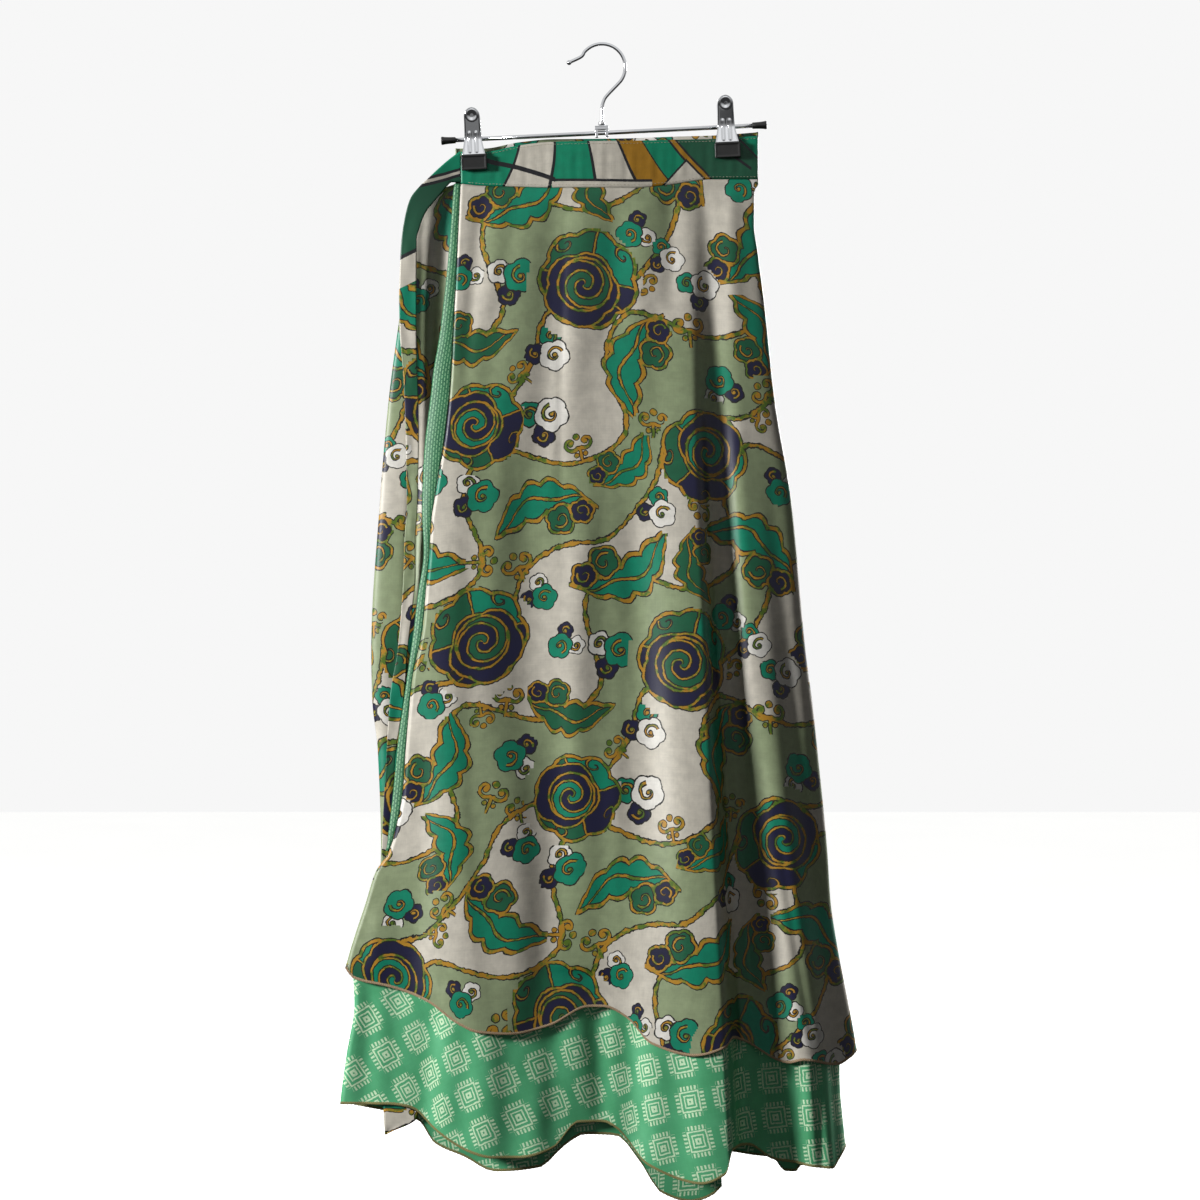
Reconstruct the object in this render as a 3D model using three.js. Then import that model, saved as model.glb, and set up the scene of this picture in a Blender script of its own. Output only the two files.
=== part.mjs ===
// Wrap skirt of two cloth layers, hung by its waistband on a clip hanger.
// Millimetres, +Z up, the front of the skirt towards -Y and its over-wrap's free edge towards -X.
// The origin is the point on the inside of the hanger's hook where a rail carries it.
// A height is given as its drop: the distance below the origin.

import * as THREE from "three";

// ---------------------------------------------------------------- driving dimensions

const GAP = 0.3; // between pieces that touch or are sewn together
const CLOTH = 1.2; // wall of one layer of cloth
const BAND = 2.8; // wall of the waistband, which holds both layers between its folds
const BAND_GAP = 0.4; // between over-wrap's and under-wrap's waistband
const TIE = 2.4; // wall of a tie, a strip folded double
const BUNDLE = 5.2; // half the depth of the gathered waist where the clips hold it
const WAIST_BOW = 4; // how far front and back waistband stand apart between the clips
const BOW_END = 100; // where that bow ends, either side of the middle
const SEAM_DROP = 127; // waist seam, at the side
const BAND_FADE = 70; // below the seam the bow fades out over this height
const SKIRT_LENGTH = 873; // from there to the hem, about
const LEVEL = { drop: 780, part: 0.8 }; // the panels' rows are level down to here

// Distance from one layer's middle to the next, at the seam and in the skirt.
const PITCH = { seam: 1.6, skirt: 2.6, full: 250 };
// Depth of the under-wrap's outer layer below the bundle's front face.
const UNDER_SINK = { seam: 3.8, skirt: 9.8, full: 420 };

function table(names, rows) {
  return rows.map((row) => Object.fromEntries(names.map((name, i) => [name, row[i]])));
}

// Rings of the hanging skirt: side folds, depth to front and back, and how full the ends are
// (0 is a flat box, 1 an ellipse).
const SECTIONS = table(["drop", "left", "right", "front", "back", "taper"], [
  [83, -132, 148, BUNDLE, BUNDLE, 0.08],
  [127, -132, 148, BUNDLE, BUNDLE, 0.08],
  [133, -149, 144.5, 6.2, 5.6, 0.1],
  [142, -157, 144, 8, 6.5, 0.12],
  [165, -168, 144, 11, 8, 0.18],
  [188, -176, 147, 14, 9.5, 0.24],
  [234, -181, 153, 18, 12, 0.3],
  [326, -193, 163, 22, 14, 0.36],
  [418, -201, 178, 25, 16, 0.42],
  [556, -209, 191, 29, 19, 0.48],
  [602, -208, 197, 30, 20, 0.5],
  [648, -203, 202, 31, 21, 0.5],
  [740, -200, 211, 33, 23, 0.52],
  [786, -204, 214, 34, 24, 0.54],
  [832, -214, 221, 35, 25, 0.55],
  [878, -217, 230, 36, 26, 0.56],
  [924, -225, 238, 37, 27, 0.58],
  [1016, -234, 247, 38, 28, 0.6],
  [1060, -237, 250, 38, 28, 0.6],
]);

// Free edge of the over-wrap: where its outer and its under layer end, and the facing's width.
const FREE_EDGE = table(["drop", "outer", "under", "facing"], [
  [127, -126, -123, 6],
  [198, -129, -126, 8],
  [263, -132, -129, 12],
  [307, -134, -131, 17],
  [357, -139, -136, 18],
  [406, -147, -144, 13],
  [439, -152, -149, 8],
  [472, -154, -151, 5],
  [504, -157, -154, 7],
  [537, -160, -157, 8],
  [580, -169, -166, 5],
  [643, -175, -172, 8],
  [685, -178, -175, 9],
  [721, -185, -182, 6],
  [740, -191, -187, 3],
  [758, -203, -196, 3],
  [786, -212, -205, 3],
  [832, -227, -219, 3],
  [855, -233, -224, 3],
  [878, -236, -223, 3],
  [924, -238, -230, 3],
  [970, -240, -236, 3],
  [1060, -244, -242, 3],
]);
const EDGE_STEP = 0.002; // width of the strip that gives the panel's direction at its edge
const FACING_END = 0.75; // the part of the edge, down from the waist, that the facing shows on

// How far the under layers stay inside the outer ones at the right fold.
const UNDER_INSET = table(["drop", "right"], [
  [127, 0],
  [740, 2],
  [832, 4],
  [878, 6],
  [924, 13],
  [970, 17],
  [1060, 16],
]);

// Waistband of the over-wrap.
const WAIST = table(["x", "top", "seam"], [
  [-126, 98, 127],
  [-106, 98, 129],
  [-72, 92, 130],
  [-42, 89, 131],
  [34, 88, 131],
  [67, 87, 128],
  [105, 86, 123],
  [148, 83, 123],
]);
const BACK_BAND_RISE = 4; // the back of the waistband stands higher than the front
const UNDER_BAND_RISE = -2; // and the under-wrap's a little lower

// Hems, each as its drop along the width.
const OUTER_HEM = table(["x", "drop"], [
  [-232, 844],
  [-223, 855],
  [-188, 863],
  [-157, 874],
  [-126, 895],
  [-109, 902],
  [-79, 904],
  [-45, 897],
  [-8, 880],
  [5, 880],
  [28, 891],
  [46, 912],
  [82, 922],
  [110, 914],
  [119, 907],
  [132, 911],
  [172, 931],
  [184, 928],
  [219, 934],
  [231, 928],
  [237, 923],
]);
const UNDER_HEM = table(["x", "drop"], [
  [-234, 970],
  [-190, 970],
  [-171, 973],
  [-151, 991],
  [-118, 1011],
  [-96, 1016],
  [-74, 1016],
  [-40, 1008],
  [-17, 985],
  [5, 985],
  [16, 990],
  [42, 1022],
  [87, 1038],
  [109, 1029],
  [119, 1007],
  [136, 1006],
  [161, 1020],
  [213, 1027],
  [229, 1010],
]);
const LOWER_HEM = table(["x", "drop"], [
  [-234, 971],
  [-194, 977],
  [-164, 985],
  [-149, 1006],
  [-122, 1018],
  [-95, 1031],
  [-53, 1027],
  [-30, 1007],
  [-12, 997],
  [16, 998],
  [39, 1023],
  [57, 1050],
  [85, 1059],
  [112, 1048],
  [119, 1020],
  [144, 1024],
  [162, 1027],
  [174, 1039],
  [184, 1039],
  [190, 1032],
  [218, 1033],
  [229, 1010],
]);
const BACK_HEM = table(["x", "drop"], [
  [-216, 840],
  [-160, 872],
  [-90, 896],
  [-10, 884],
  [70, 908],
  [150, 900],
  [205, 920],
  [238, 922],
]);
const UNDER_WRAP_HEM_RISE = 8; // the under-wrap's outer hem stays hidden by this much
const BACK_UNDER_RISE = { rise: 9, from: 104, to: 120 }; // so does the back's, up to the roll

// Folds, as rounded ridges: where the crest stands at the waist, halfway and at the hem, how
// wide its flanks are and how high it is at the hem, how far it leans over, and where it starts.
const FRONT_FOLDS = table(
  ["name", "waist", "middle", "hem", "left", "right", "height", "lean", "start"],
  [
    ["broad roll", -108, -128, -92, 78, 84, 13, 0, 150],
    ["main roll", 80, 91, 111, 92, 30, 26, 6, 150],
    ["right panel", 128, 152, 203, 36, 34, 14, 3, 330],
    ["soft middle", -40, -14, -48, 30, 34, 3, 0, 140],
    ["hem flute", 40, 44, 48, 30, 30, 4, 0, 700],
  ],
);
const BACK_FOLDS = table(
  ["name", "waist", "middle", "hem", "left", "right", "height", "lean", "start"],
  [
    ["left flute", -100, -135, -150, 44, 52, 11, 2, 170],
    ["middle flute", -20, -34, -48, 42, 46, 9, -2, 260],
    ["right flute", 58, 62, 66, 40, 50, 12, 2, 210],
    ["side flute", 110, 142, 168, 40, 38, 9, 0, 320],
  ],
);
const UNDER_WRAP_FOLDS = table(
  ["name", "waist", "middle", "hem", "left", "right", "height", "lean", "start"],
  [
    ["edge flute", -112, -168, -178, 26, 30, 3, 0, 160],
    ["inner flute", -20, -60, -70, 40, 40, 3, 0, 300],
  ],
);
const FOLD_SPAN = { top: 127, bottom: 1016 }; // the heights that the fold tables speak of
const FOLD_NARROW = 0.45; // a fold's width at the waist, as a part of that at the hem
const FOLD_GROWTH = 0.7; // power by which its height grows downwards; under 1 it grows early
const FREE_END_OPEN = 0.2; // how full the over-wrap's ring stays at its free edge

// Free edge of the under-wrap, hidden between over-wrap and back.
const UNDER_WRAP_END = table(["drop", "x"], [
  [127, 76],
  [400, 88],
  [700, 98],
  [1060, 114],
]);
const UNDER_BAND_END = 98;

// Tie sewn to the over-wrap's waistband: its outer and inner edge and its place in depth.
const TIE_PATH = table(["outerX", "outerDrop", "outerY", "innerX", "innerDrop", "innerY"], [
  [-126.4, 97, -3.8, -126.4, 126, -3.8],
  [-137, 105, -4.6, -134, 126, -4.6],
  [-147, 114, -6.5, -142, 126, -6.5],
  [-156, 123, -9, -149, 130, -8.5],
  [-165, 132, -11, -156, 139, -11],
  [-172, 142, -13, -161, 149, -13.5],
  [-177, 160, -15, -165, 164, -15.5],
  [-180, 182, -16, -166, 182, -17],
  [-182, 234, -17, -166, 234, -18],
  [-181, 270, -17, -166, 270, -18],
  [-178, 307, -17, -165, 307, -18],
  [-176, 357, -17, -164, 357, -18],
  [-175, 422, -18, -165, 422, -19],
  [-177, 455, -18, -167, 455, -19],
  [-178, 488, -18, -167, 488, -19],
  [-183, 554, -18, -174, 554, -19],
  [-190, 596, -18, -177, 596, -19],
  [-194, 661, -18, -186, 661, -18.5],
  [-197, 719, -18, -188, 719, -18.5],
  [-198, 758, -18.5, -184, 758, -20],
  [-197, 804, -19.3, -178, 804, -22.4],
  [-196, 859, -20, -172, 859, -24.5],
  [-195, 924, -21.5, -167, 924, -25],
  [-196, 974, -22.5, -164, 979, -25.5],
]);
const TIE_TIP = { x: -194, drop: 998, width: 1.2 };

// Tie sewn to the under-wrap's waistband, hanging inside the skirt.
const INNER_TIE = table(["drop", "x", "y"], [
  [124, 89, -0.8],
  [200, 91, -2],
  [320, 97, -5],
  [480, 104, -6],
  [640, 111, -6],
  [800, 114, -8],
  [940, 121, -8],
]);
const INNER_TIE_WIDTH = 16;

// Hanger.
const WIRE = 1.6; // radius of the hook's wire
const HOOK = { x: 3.7, radius: 19.75 + WIRE }; // centre and radius of the hook's bend
const HOOK_TURN = { from: 153, to: -46, steps: 14 }; // degrees round that centre, anticlockwise
const HOOK_TIP = [-25, -14.5];
const HOOK_STEM = [[8.2, -45.6], [5.2, -50.5], [3.8, -56], [3.5, -62], [3.5, -73]];
const TIP_BALL = 2.3;
const BAR = { x: 5.5, drop: 80, radius: 2, length: 296, tilt: 2.8 };
const CAP = { length: 13.3, mouth: 2.9, end: 3.8, floor: 1.6, bevel: 0.6 };
const SADDLE = { x: -2, width: 12, wall: 1, above: 6.6, below: 3.9 };
const SWIVEL = { radius: 3.1, height: 3 };
const CLIPS = [{ name: "clip_left", x: -120.5 }, { name: "clip_right", x: 112.5 }];
const JAW = { width: 23.5, height: 14, depth: 4.8, top: -15.3 };
const SLEEVE = { radius: 4, length: 13 };
const LEVER_WALL = 1.2;
// A clip lever from its rounded tip to its jaw: height over the bar, width, distance from middle.
const LEVER = table(["height", "width", "stand"], [
  [27.7, 5, 11],
  [26.9, 9, 10.8],
  [25, 12.4, 10.3],
  [21.5, 14.2, 9.4],
  [14, 14.4, 7.6],
  [5, 15, 5.1],
  [0, 15.6, 4.3],
  [-5, 17.2, 4.9],
  [-15, 21.5, 7.4],
]);

const COLOURS = {
  rose: "#b9b591",
  leaf: "#47a268",
  band: "#0d7d5b",
  facing: "#2f6a48",
  chrome: "#c9ccd0",
  rubber: "#131313",
};

// ---------------------------------------------------------------- tools

const clamp = (value, low, high) => Math.min(high, Math.max(low, value));
const mix = (a, b, t) => a + (b - a) * t;

function ease(from, to, value) {
  const t = clamp((value - from) / (to - from), 0, 1);
  return t * t * (3 - 2 * t);
}

// A column of a table at any place between its rows, as a curve that never overshoots them.
function read(rows, by, column, at) {
  const last = rows.length - 1;
  if (at <= rows[0][by]) return rows[0][column];
  if (at >= rows[last][by]) return rows[last][column];
  const i = rows.findIndex((row) => row[by] > at) - 1;
  const secant = (k) => (rows[k + 1][column] - rows[k][column]) / (rows[k + 1][by] - rows[k][by]);
  const slope = (k) => {
    if (k === 0) return secant(0);
    if (k === last) return secant(last - 1);
    const product = secant(k - 1) * secant(k);
    return product <= 0 ? 0 : (2 * product) / (secant(k - 1) + secant(k));
  };
  const step = rows[i + 1][by] - rows[i][by];
  const t = (at - rows[i][by]) / step;
  const keep = t * t * (3 - 2 * t);
  const start = t * (1 - t) * (1 - t) * step * slope(i);
  const end = t * t * (t - 1) * step * slope(i + 1);
  return mix(rows[i][column], rows[i + 1][column], keep) + start + end;
}

// Fractions 0 to 1 in stretches, each with its own number of steps.
function fractions(stretches) {
  const list = [0];
  for (const [to, steps] of stretches) {
    const from = list[list.length - 1];
    for (let k = 1; k <= steps; k += 1) list.push(mix(from, to, k / steps));
  }
  return list;
}

function place(geometry, name, colour, metal = false) {
  const material = new THREE.MeshStandardMaterial({
    color: COLOURS[colour],
    roughness: metal ? 0.18 : 0.7,
    metalness: metal ? 1 : 0,
  });
  const mesh = new THREE.Mesh(geometry, material);
  mesh.name = name;
  return mesh;
}

// Normal of a sheet given as a function of two fractions.
function normalAt(sheet, u, v) {
  const step = 4e-4;
  const [u0, u1] = [Math.max(0, u - step), Math.min(1, u + step)];
  const [v0, v1] = [Math.max(0, v - step), Math.min(1, v + step)];
  const along = sheet(u1, v).sub(sheet(u0, v));
  const down = sheet(u, v1).sub(sheet(u, v0));
  return along.cross(down).normalize();
}

// A sheet moved along its own normal, so that one layer of cloth lies on another.
function moved(sheet, distance) {
  return (u, v) => sheet(u, v).addScaledVector(normalAt(sheet, u, v), distance(u, v));
}

// Closed wall of one thickness with the sheet as its middle.
function wall(sheet, columns, rows, thickness) {
  const positions = [];
  for (const side of [0.5, -0.5]) {
    for (const v of rows) {
      for (const u of columns) {
        const point = sheet(u, v).addScaledVector(normalAt(sheet, u, v), side * thickness);
        positions.push(point.x, point.y, point.z);
      }
    }
  }
  const [wide, high] = [columns.length, rows.length];
  const at = (side, i, j) => side * wide * high + j * wide + i;
  const index = [];
  const quad = (a, b, c, d) => index.push(a, b, c, a, c, d);
  for (let j = 0; j + 1 < high; j += 1) {
    for (let i = 0; i + 1 < wide; i += 1) {
      quad(at(0, i, j), at(0, i + 1, j), at(0, i + 1, j + 1), at(0, i, j + 1));
      quad(at(1, i, j), at(1, i, j + 1), at(1, i + 1, j + 1), at(1, i + 1, j));
    }
  }
  for (let i = 0; i + 1 < wide; i += 1) {
    quad(at(1, i, 0), at(1, i + 1, 0), at(0, i + 1, 0), at(0, i, 0));
    quad(at(0, i, high - 1), at(0, i + 1, high - 1), at(1, i + 1, high - 1), at(1, i, high - 1));
  }
  for (let j = 0; j + 1 < high; j += 1) {
    quad(at(0, 0, j), at(0, 0, j + 1), at(1, 0, j + 1), at(1, 0, j));
    quad(at(1, wide - 1, j), at(1, wide - 1, j + 1), at(0, wide - 1, j + 1), at(0, wide - 1, j));
  }
  const geometry = new THREE.BufferGeometry();
  geometry.setAttribute("position", new THREE.Float32BufferAttribute(positions, 3));
  geometry.setIndex(index);
  geometry.computeVertexNormals();
  return geometry;
}

// ---------------------------------------------------------------- the hanging form

function foldHeight(folds, x, drop) {
  const t = clamp((drop - FOLD_SPAN.top) / (FOLD_SPAN.bottom - FOLD_SPAN.top), 0, 1.05);
  let height = 0;
  let lean = 0;
  for (const fold of folds) {
    const bend = 4 * t * (1 - t);
    const straight = mix(fold.waist, fold.hem, t);
    const crest = straight + bend * (fold.middle - (fold.waist + fold.hem) / 2);
    const width = (x < crest ? fold.left : fold.right) * mix(FOLD_NARROW, 1, t);
    const across = clamp((x - crest) / width, -1, 1);
    const profile = (1 - across * across) ** 2;
    const grown = ease(fold.start, FOLD_SPAN.bottom, drop) ** FOLD_GROWTH;
    height += fold.height * grown * profile;
    lean += fold.lean * grown * profile;
  }
  return { height, lean };
}

function waistBow(x, drop) {
  if (Math.abs(x) >= BOW_END) return 0;
  const across = Math.cos((Math.PI * x) / (2 * BOW_END)) ** 2;
  return WAIST_BOW * across * (1 - ease(SEAM_DROP, SEAM_DROP + BAND_FADE, drop));
}

// Depth of a ring of cloth at x: its two ends, its distance below the bundle's front and back
// faces, the side of the ring, and how open its left end stays where a free edge ends it.
function ringDepth(x, drop, ring) {
  const middle = (ring.left + ring.right) / 2;
  const along = clamp((x - middle) / ((ring.right - ring.left) / 2), -1, 1);
  const open = along < 0 ? ring.open : 0;
  const taper = read(SECTIONS, "drop", "taper", drop);
  const fullness = (1 - (1 - open) * along * along) ** (taper / 2);
  const front = ring.frontSink - read(SECTIONS, "drop", "front", drop);
  const back = read(SECTIONS, "drop", "back", drop) - ring.backSink;
  const reach = Math.max(((back - front) / 2) * fullness, GAP / 2);
  return (front + back) / 2 + ring.side * reach;
}

const pitch = (drop) => mix(PITCH.seam, PITCH.skirt, ease(SEAM_DROP, PITCH.full, drop));
const pitchAt = (u, v) => pitch(SEAM_DROP + SKIRT_LENGTH * v);
const underSink = (drop) => {
  return mix(UNDER_SINK.seam, UNDER_SINK.skirt, ease(SEAM_DROP, UNDER_SINK.full, drop));
};

// Over-wrap at x: one sheet from its free edge to the right fold.
function overWrapPoint(x, drop, half, inset, edge) {
  const right = read(SECTIONS, "drop", "right", drop) - half - inset;
  const left = Math.min(read(SECTIONS, "drop", "left", drop), edge) - 1;
  const ring = { left, right, frontSink: half, backSink: half, side: -1, open: FREE_END_OPEN };
  const fold = foldHeight(FRONT_FOLDS, x, drop);
  const y = ringDepth(x, drop, ring) - fold.height - waistBow(x, drop);
  return new THREE.Vector3(x + fold.lean, y, -drop);
}

// Back of the skirt at x: from the right fold to the left one. At the left fold it runs on into
// the under-wrap, which lies deeper than the over-wrap by leftSink.
function backPoint(x, drop, half, inset, leftSink) {
  const right = read(SECTIONS, "drop", "right", drop) - half - inset;
  const left = read(SECTIONS, "drop", "left", drop) + half;
  const frontSink = x > (left + right) / 2 ? half : leftSink;
  const ring = { left, right, frontSink, backSink: half, side: 1, open: 0 };
  const fold = foldHeight(BACK_FOLDS, x, drop);
  const y = ringDepth(x, drop, ring) + fold.height + waistBow(x, drop);
  return new THREE.Vector3(x + fold.lean, y, -drop);
}

// Under-wrap at x: from the left fold to its hidden free edge.
function underWrapPoint(x, drop, half, sink) {
  const right = read(SECTIONS, "drop", "right", drop) - half;
  const left = read(SECTIONS, "drop", "left", drop) + half;
  const ring = { left, right, frontSink: sink, backSink: half, side: -1, open: 0 };
  const fold = foldHeight(UNDER_WRAP_FOLDS, x, drop);
  const y = ringDepth(x, drop, ring) - fold.height - waistBow(x, drop);
  return new THREE.Vector3(x + fold.lean, y, -drop);
}

// A panel as a function of two fractions: across from one side to the other, and down from its
// top to its hem. Its rows are level down to LEVEL.drop, where v is LEVEL.part, so that the rows
// of all layers lie on each other, and follow the hem below that. The hem depends on x and the
// sides on the drop, so x is found in a few passes.
function panel({ from, to, top, hem, point }) {
  const passes = 4;
  return (u, v) => {
    let drop = mix(SEAM_DROP, LEVEL.drop, v);
    let x = 0;
    for (let pass = 0; pass < passes; pass += 1) {
      x = mix(from(drop), to(drop), u);
      if (v < LEVEL.part) drop = mix(top(x), LEVEL.drop, v / LEVEL.part);
      else drop = mix(LEVEL.drop, hem(x), (v - LEVEL.part) / (1 - LEVEL.part));
    }
    return point(x, drop);
  };
}

// ---------------------------------------------------------------- cloth

const half = CLOTH / 2;
const sectionLeft = (drop) => read(SECTIONS, "drop", "left", drop);
const sectionRight = (drop) => read(SECTIONS, "drop", "right", drop);
const freeEdge = (column) => (drop) => read(FREE_EDGE, "drop", column, drop);
const inset = (drop) => read(UNDER_INSET, "drop", "right", drop);
const underWrapEnd = (drop) => read(UNDER_WRAP_END, "drop", "x", drop);
const seam = (x) => read(WAIST, "x", "seam", x);
const hemOf = (rows, rise = 0) => (x) => read(rows, "x", "drop", x) - rise;
const clothTop = (x) => seam(x) + GAP;

function backUnderHem(x) {
  const { rise, from, to } = BACK_UNDER_RISE;
  return read(LOWER_HEM, "x", "drop", x) - rise * (1 - ease(from, to, x));
}

const sheets = {
  outer_front: panel({
    from: freeEdge("outer"),
    to: (drop) => sectionRight(drop) - half,
    top: clothTop,
    hem: hemOf(OUTER_HEM),
    point: (x, drop) => overWrapPoint(x, drop, half, 0, freeEdge("outer")(drop)),
  }),
  under_front: moved(panel({
    from: freeEdge("under"),
    to: (drop) => sectionRight(drop) - half - inset(drop),
    top: clothTop,
    hem: hemOf(UNDER_HEM),
    point: (x, drop) => overWrapPoint(x, drop, half, inset(drop), freeEdge("under")(drop)),
  }), pitchAt),
  outer_back: panel({
    from: (drop) => sectionRight(drop) - half,
    to: (drop) => sectionLeft(drop) + half,
    top: clothTop,
    hem: hemOf(BACK_HEM),
    point: (x, drop) => backPoint(x, drop, half, 0, underSink(drop)),
  }),
  under_back: moved(panel({
    from: (drop) => sectionRight(drop) - half - inset(drop),
    to: (drop) => sectionLeft(drop) + half,
    top: clothTop,
    hem: backUnderHem,
    point: (x, drop) => backPoint(x, drop, half, inset(drop), underSink(drop)),
  }), pitchAt),
  outer_underwrap: panel({
    from: (drop) => sectionLeft(drop) + half,
    to: underWrapEnd,
    top: clothTop,
    hem: hemOf(OUTER_HEM, UNDER_WRAP_HEM_RISE),
    point: (x, drop) => underWrapPoint(x, drop, half, underSink(drop)),
  }),
  under_underwrap: moved(panel({
    from: (drop) => sectionLeft(drop) + half,
    to: underWrapEnd,
    top: clothTop,
    hem: hemOf(LOWER_HEM),
    point: (x, drop) => underWrapPoint(x, drop, half, underSink(drop)),
  }), pitchAt),
};

// Columns stand closer at the main roll and round the side folds.
const OVER_COLUMNS = fractions([[0.66, 15], [0.82, 12], [0.94, 3], [0.985, 2], [0.996, 1], [1, 1]]);
const BACK_COLUMNS = fractions([[0.004, 1], [0.02, 1], [0.95, 18], [0.98, 1], [0.996, 1], [1, 1]]);
const UNDER_WRAP_COLUMNS = fractions([[0.006, 1], [0.025, 1], [0.08, 1], [1, 11]]);
const OUTER_ROWS = fractions([[0.008, 1], [0.08, 4], [0.8, 10], [1, 3]]);
const UNDER_ROWS = fractions([[0.008, 1], [0.08, 4], [0.8, 10], [1, 4]]);
const FACING_ROWS = OUTER_ROWS.filter((row) => row < FACING_END);

function clothPanels() {
  const plan = [
    ["outer_front", "rose", OVER_COLUMNS, OUTER_ROWS],
    ["under_front", "leaf", OVER_COLUMNS, UNDER_ROWS],
    ["outer_back", "rose", BACK_COLUMNS, OUTER_ROWS],
    ["under_back", "leaf", BACK_COLUMNS, UNDER_ROWS],
    ["outer_underwrap", "rose", UNDER_WRAP_COLUMNS, OUTER_ROWS],
    ["under_underwrap", "leaf", UNDER_WRAP_COLUMNS, UNDER_ROWS],
  ];
  return plan.map(([name, colour, columns, rows]) => {
    return place(wall(sheets[name], columns, rows, CLOTH), name, colour);
  });
}

// A stretch of waistband, between its top edge and the waist seam.
function bandStretch({ from, to, top, bottom, point }) {
  return (u, v) => {
    const x = mix(from(SEAM_DROP), to(SEAM_DROP), u);
    return point(x, mix(top(x), bottom(x), v));
  };
}

// The waistband in three stretches: over-wrap, back and under-wrap.
function waistband() {
  const middle = BAND / 2;
  const underDepth = BAND + BAND_GAP + middle;
  const bandTop = (rise) => (x) => read(WAIST, "x", "top", x) - rise;
  const front = bandStretch({
    from: () => WAIST[0].x,
    to: (drop) => sectionRight(drop) - middle,
    top: bandTop(0),
    bottom: seam,
    point: (x, drop) => overWrapPoint(x, drop, middle, 0, WAIST[0].x),
  });
  const back = bandStretch({
    from: (drop) => sectionRight(drop) - middle,
    to: (drop) => sectionLeft(drop) + middle,
    top: bandTop(BACK_BAND_RISE),
    bottom: seam,
    point: (x, drop) => backPoint(x, drop, middle, 0, underDepth),
  });
  const underwrap = bandStretch({
    from: (drop) => sectionLeft(drop) + middle,
    to: () => UNDER_BAND_END,
    top: bandTop(UNDER_BAND_RISE),
    bottom: seam,
    point: (x, drop) => underWrapPoint(x, drop, middle, underDepth),
  });
  const rows = fractions([[1, 2]]);
  const frontColumns = fractions([[0.94, 24], [0.985, 2], [0.996, 1], [1, 1]]);
  const backColumns = fractions([[0.004, 1], [0.02, 1], [0.98, 24], [0.996, 1], [1, 1]]);
  const underColumns = fractions([[0.006, 1], [0.03, 1], [1, 16]]);
  return [
    place(wall(front, frontColumns, rows, BAND), "band_front", "band"),
    place(wall(back, backColumns, rows, BAND), "band_back", "band"),
    place(wall(underwrap, underColumns, rows, BAND), "band_underwrap", "band"),
  ];
}

// Narrow strip that finishes the over-wrap's free edge and rolls back from it.
function edgeFacing() {
  const curl = 0.2; // how far it turns back, as a part of its width
  const panelSheet = sheets.outer_front;
  const sheet = (u, v) => {
    const start = panelSheet(0, v);
    const width = freeEdge("facing")(-start.z);
    const along = panelSheet(EDGE_STEP, v).sub(start).setZ(0).normalize();
    const point = start.addScaledVector(along, -GAP - (1 - u) * width);
    point.y += curl * width * (1 - u) ** 2;
    return point;
  };
  return place(wall(sheet, [0, 0.5, 1], FACING_ROWS, CLOTH), "edge_facing", "facing");
}

// Tie that turns down from the over-wrap's waistband and hangs to a pointed end.
function outerTie() {
  const last = TIE_PATH.length - 1;
  const tip = {
    outerX: TIE_TIP.x - TIE_TIP.width / 2,
    outerDrop: TIE_TIP.drop,
    outerY: TIE_PATH[last].outerY,
    innerX: TIE_TIP.x + TIE_TIP.width / 2,
    innerDrop: TIE_TIP.drop,
    innerY: TIE_PATH[last].outerY,
  };
  const rows = [...TIE_PATH, tip];
  const numbered = rows.map((row, i) => ({ ...row, row: i }));
  const sheet = (u, v) => {
    const at = v * (rows.length - 1);
    const value = (column) => read(numbered, "row", column, at);
    const x = mix(value("outerX"), value("innerX"), u);
    const y = mix(value("outerY"), value("innerY"), u);
    const drop = mix(value("outerDrop"), value("innerDrop"), u);
    return new THREE.Vector3(x, y, -drop);
  };
  const heights = rows.map((row, i) => i / (rows.length - 1));
  return place(wall(sheet, [0, 0.5, 1], heights, TIE), "tie_outer", "band");
}

function innerTie() {
  const [first, last] = [INNER_TIE[0], INNER_TIE[INNER_TIE.length - 1]];
  const sheet = (u, v) => {
    const across = (u - 0.5) * INNER_TIE_WIDTH;
    const drop = mix(clothTop(first.x + across), last.drop, v);
    const x = read(INNER_TIE, "drop", "x", drop) + across;
    return new THREE.Vector3(x, read(INNER_TIE, "drop", "y", drop), -drop);
  };
  return place(wall(sheet, [0, 1], fractions([[1, 12]]), TIE), "tie_inner", "band");
}

// ---------------------------------------------------------------- hanger

// Solid of revolution about Z from a closed profile of radius and height.
function turned(profile, segments) {
  const points = [...profile, profile[0]].map(([radius, height]) => new THREE.Vector2(radius, height));
  return new THREE.LatheGeometry(points, segments).rotateX(Math.PI / 2);
}

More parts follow.
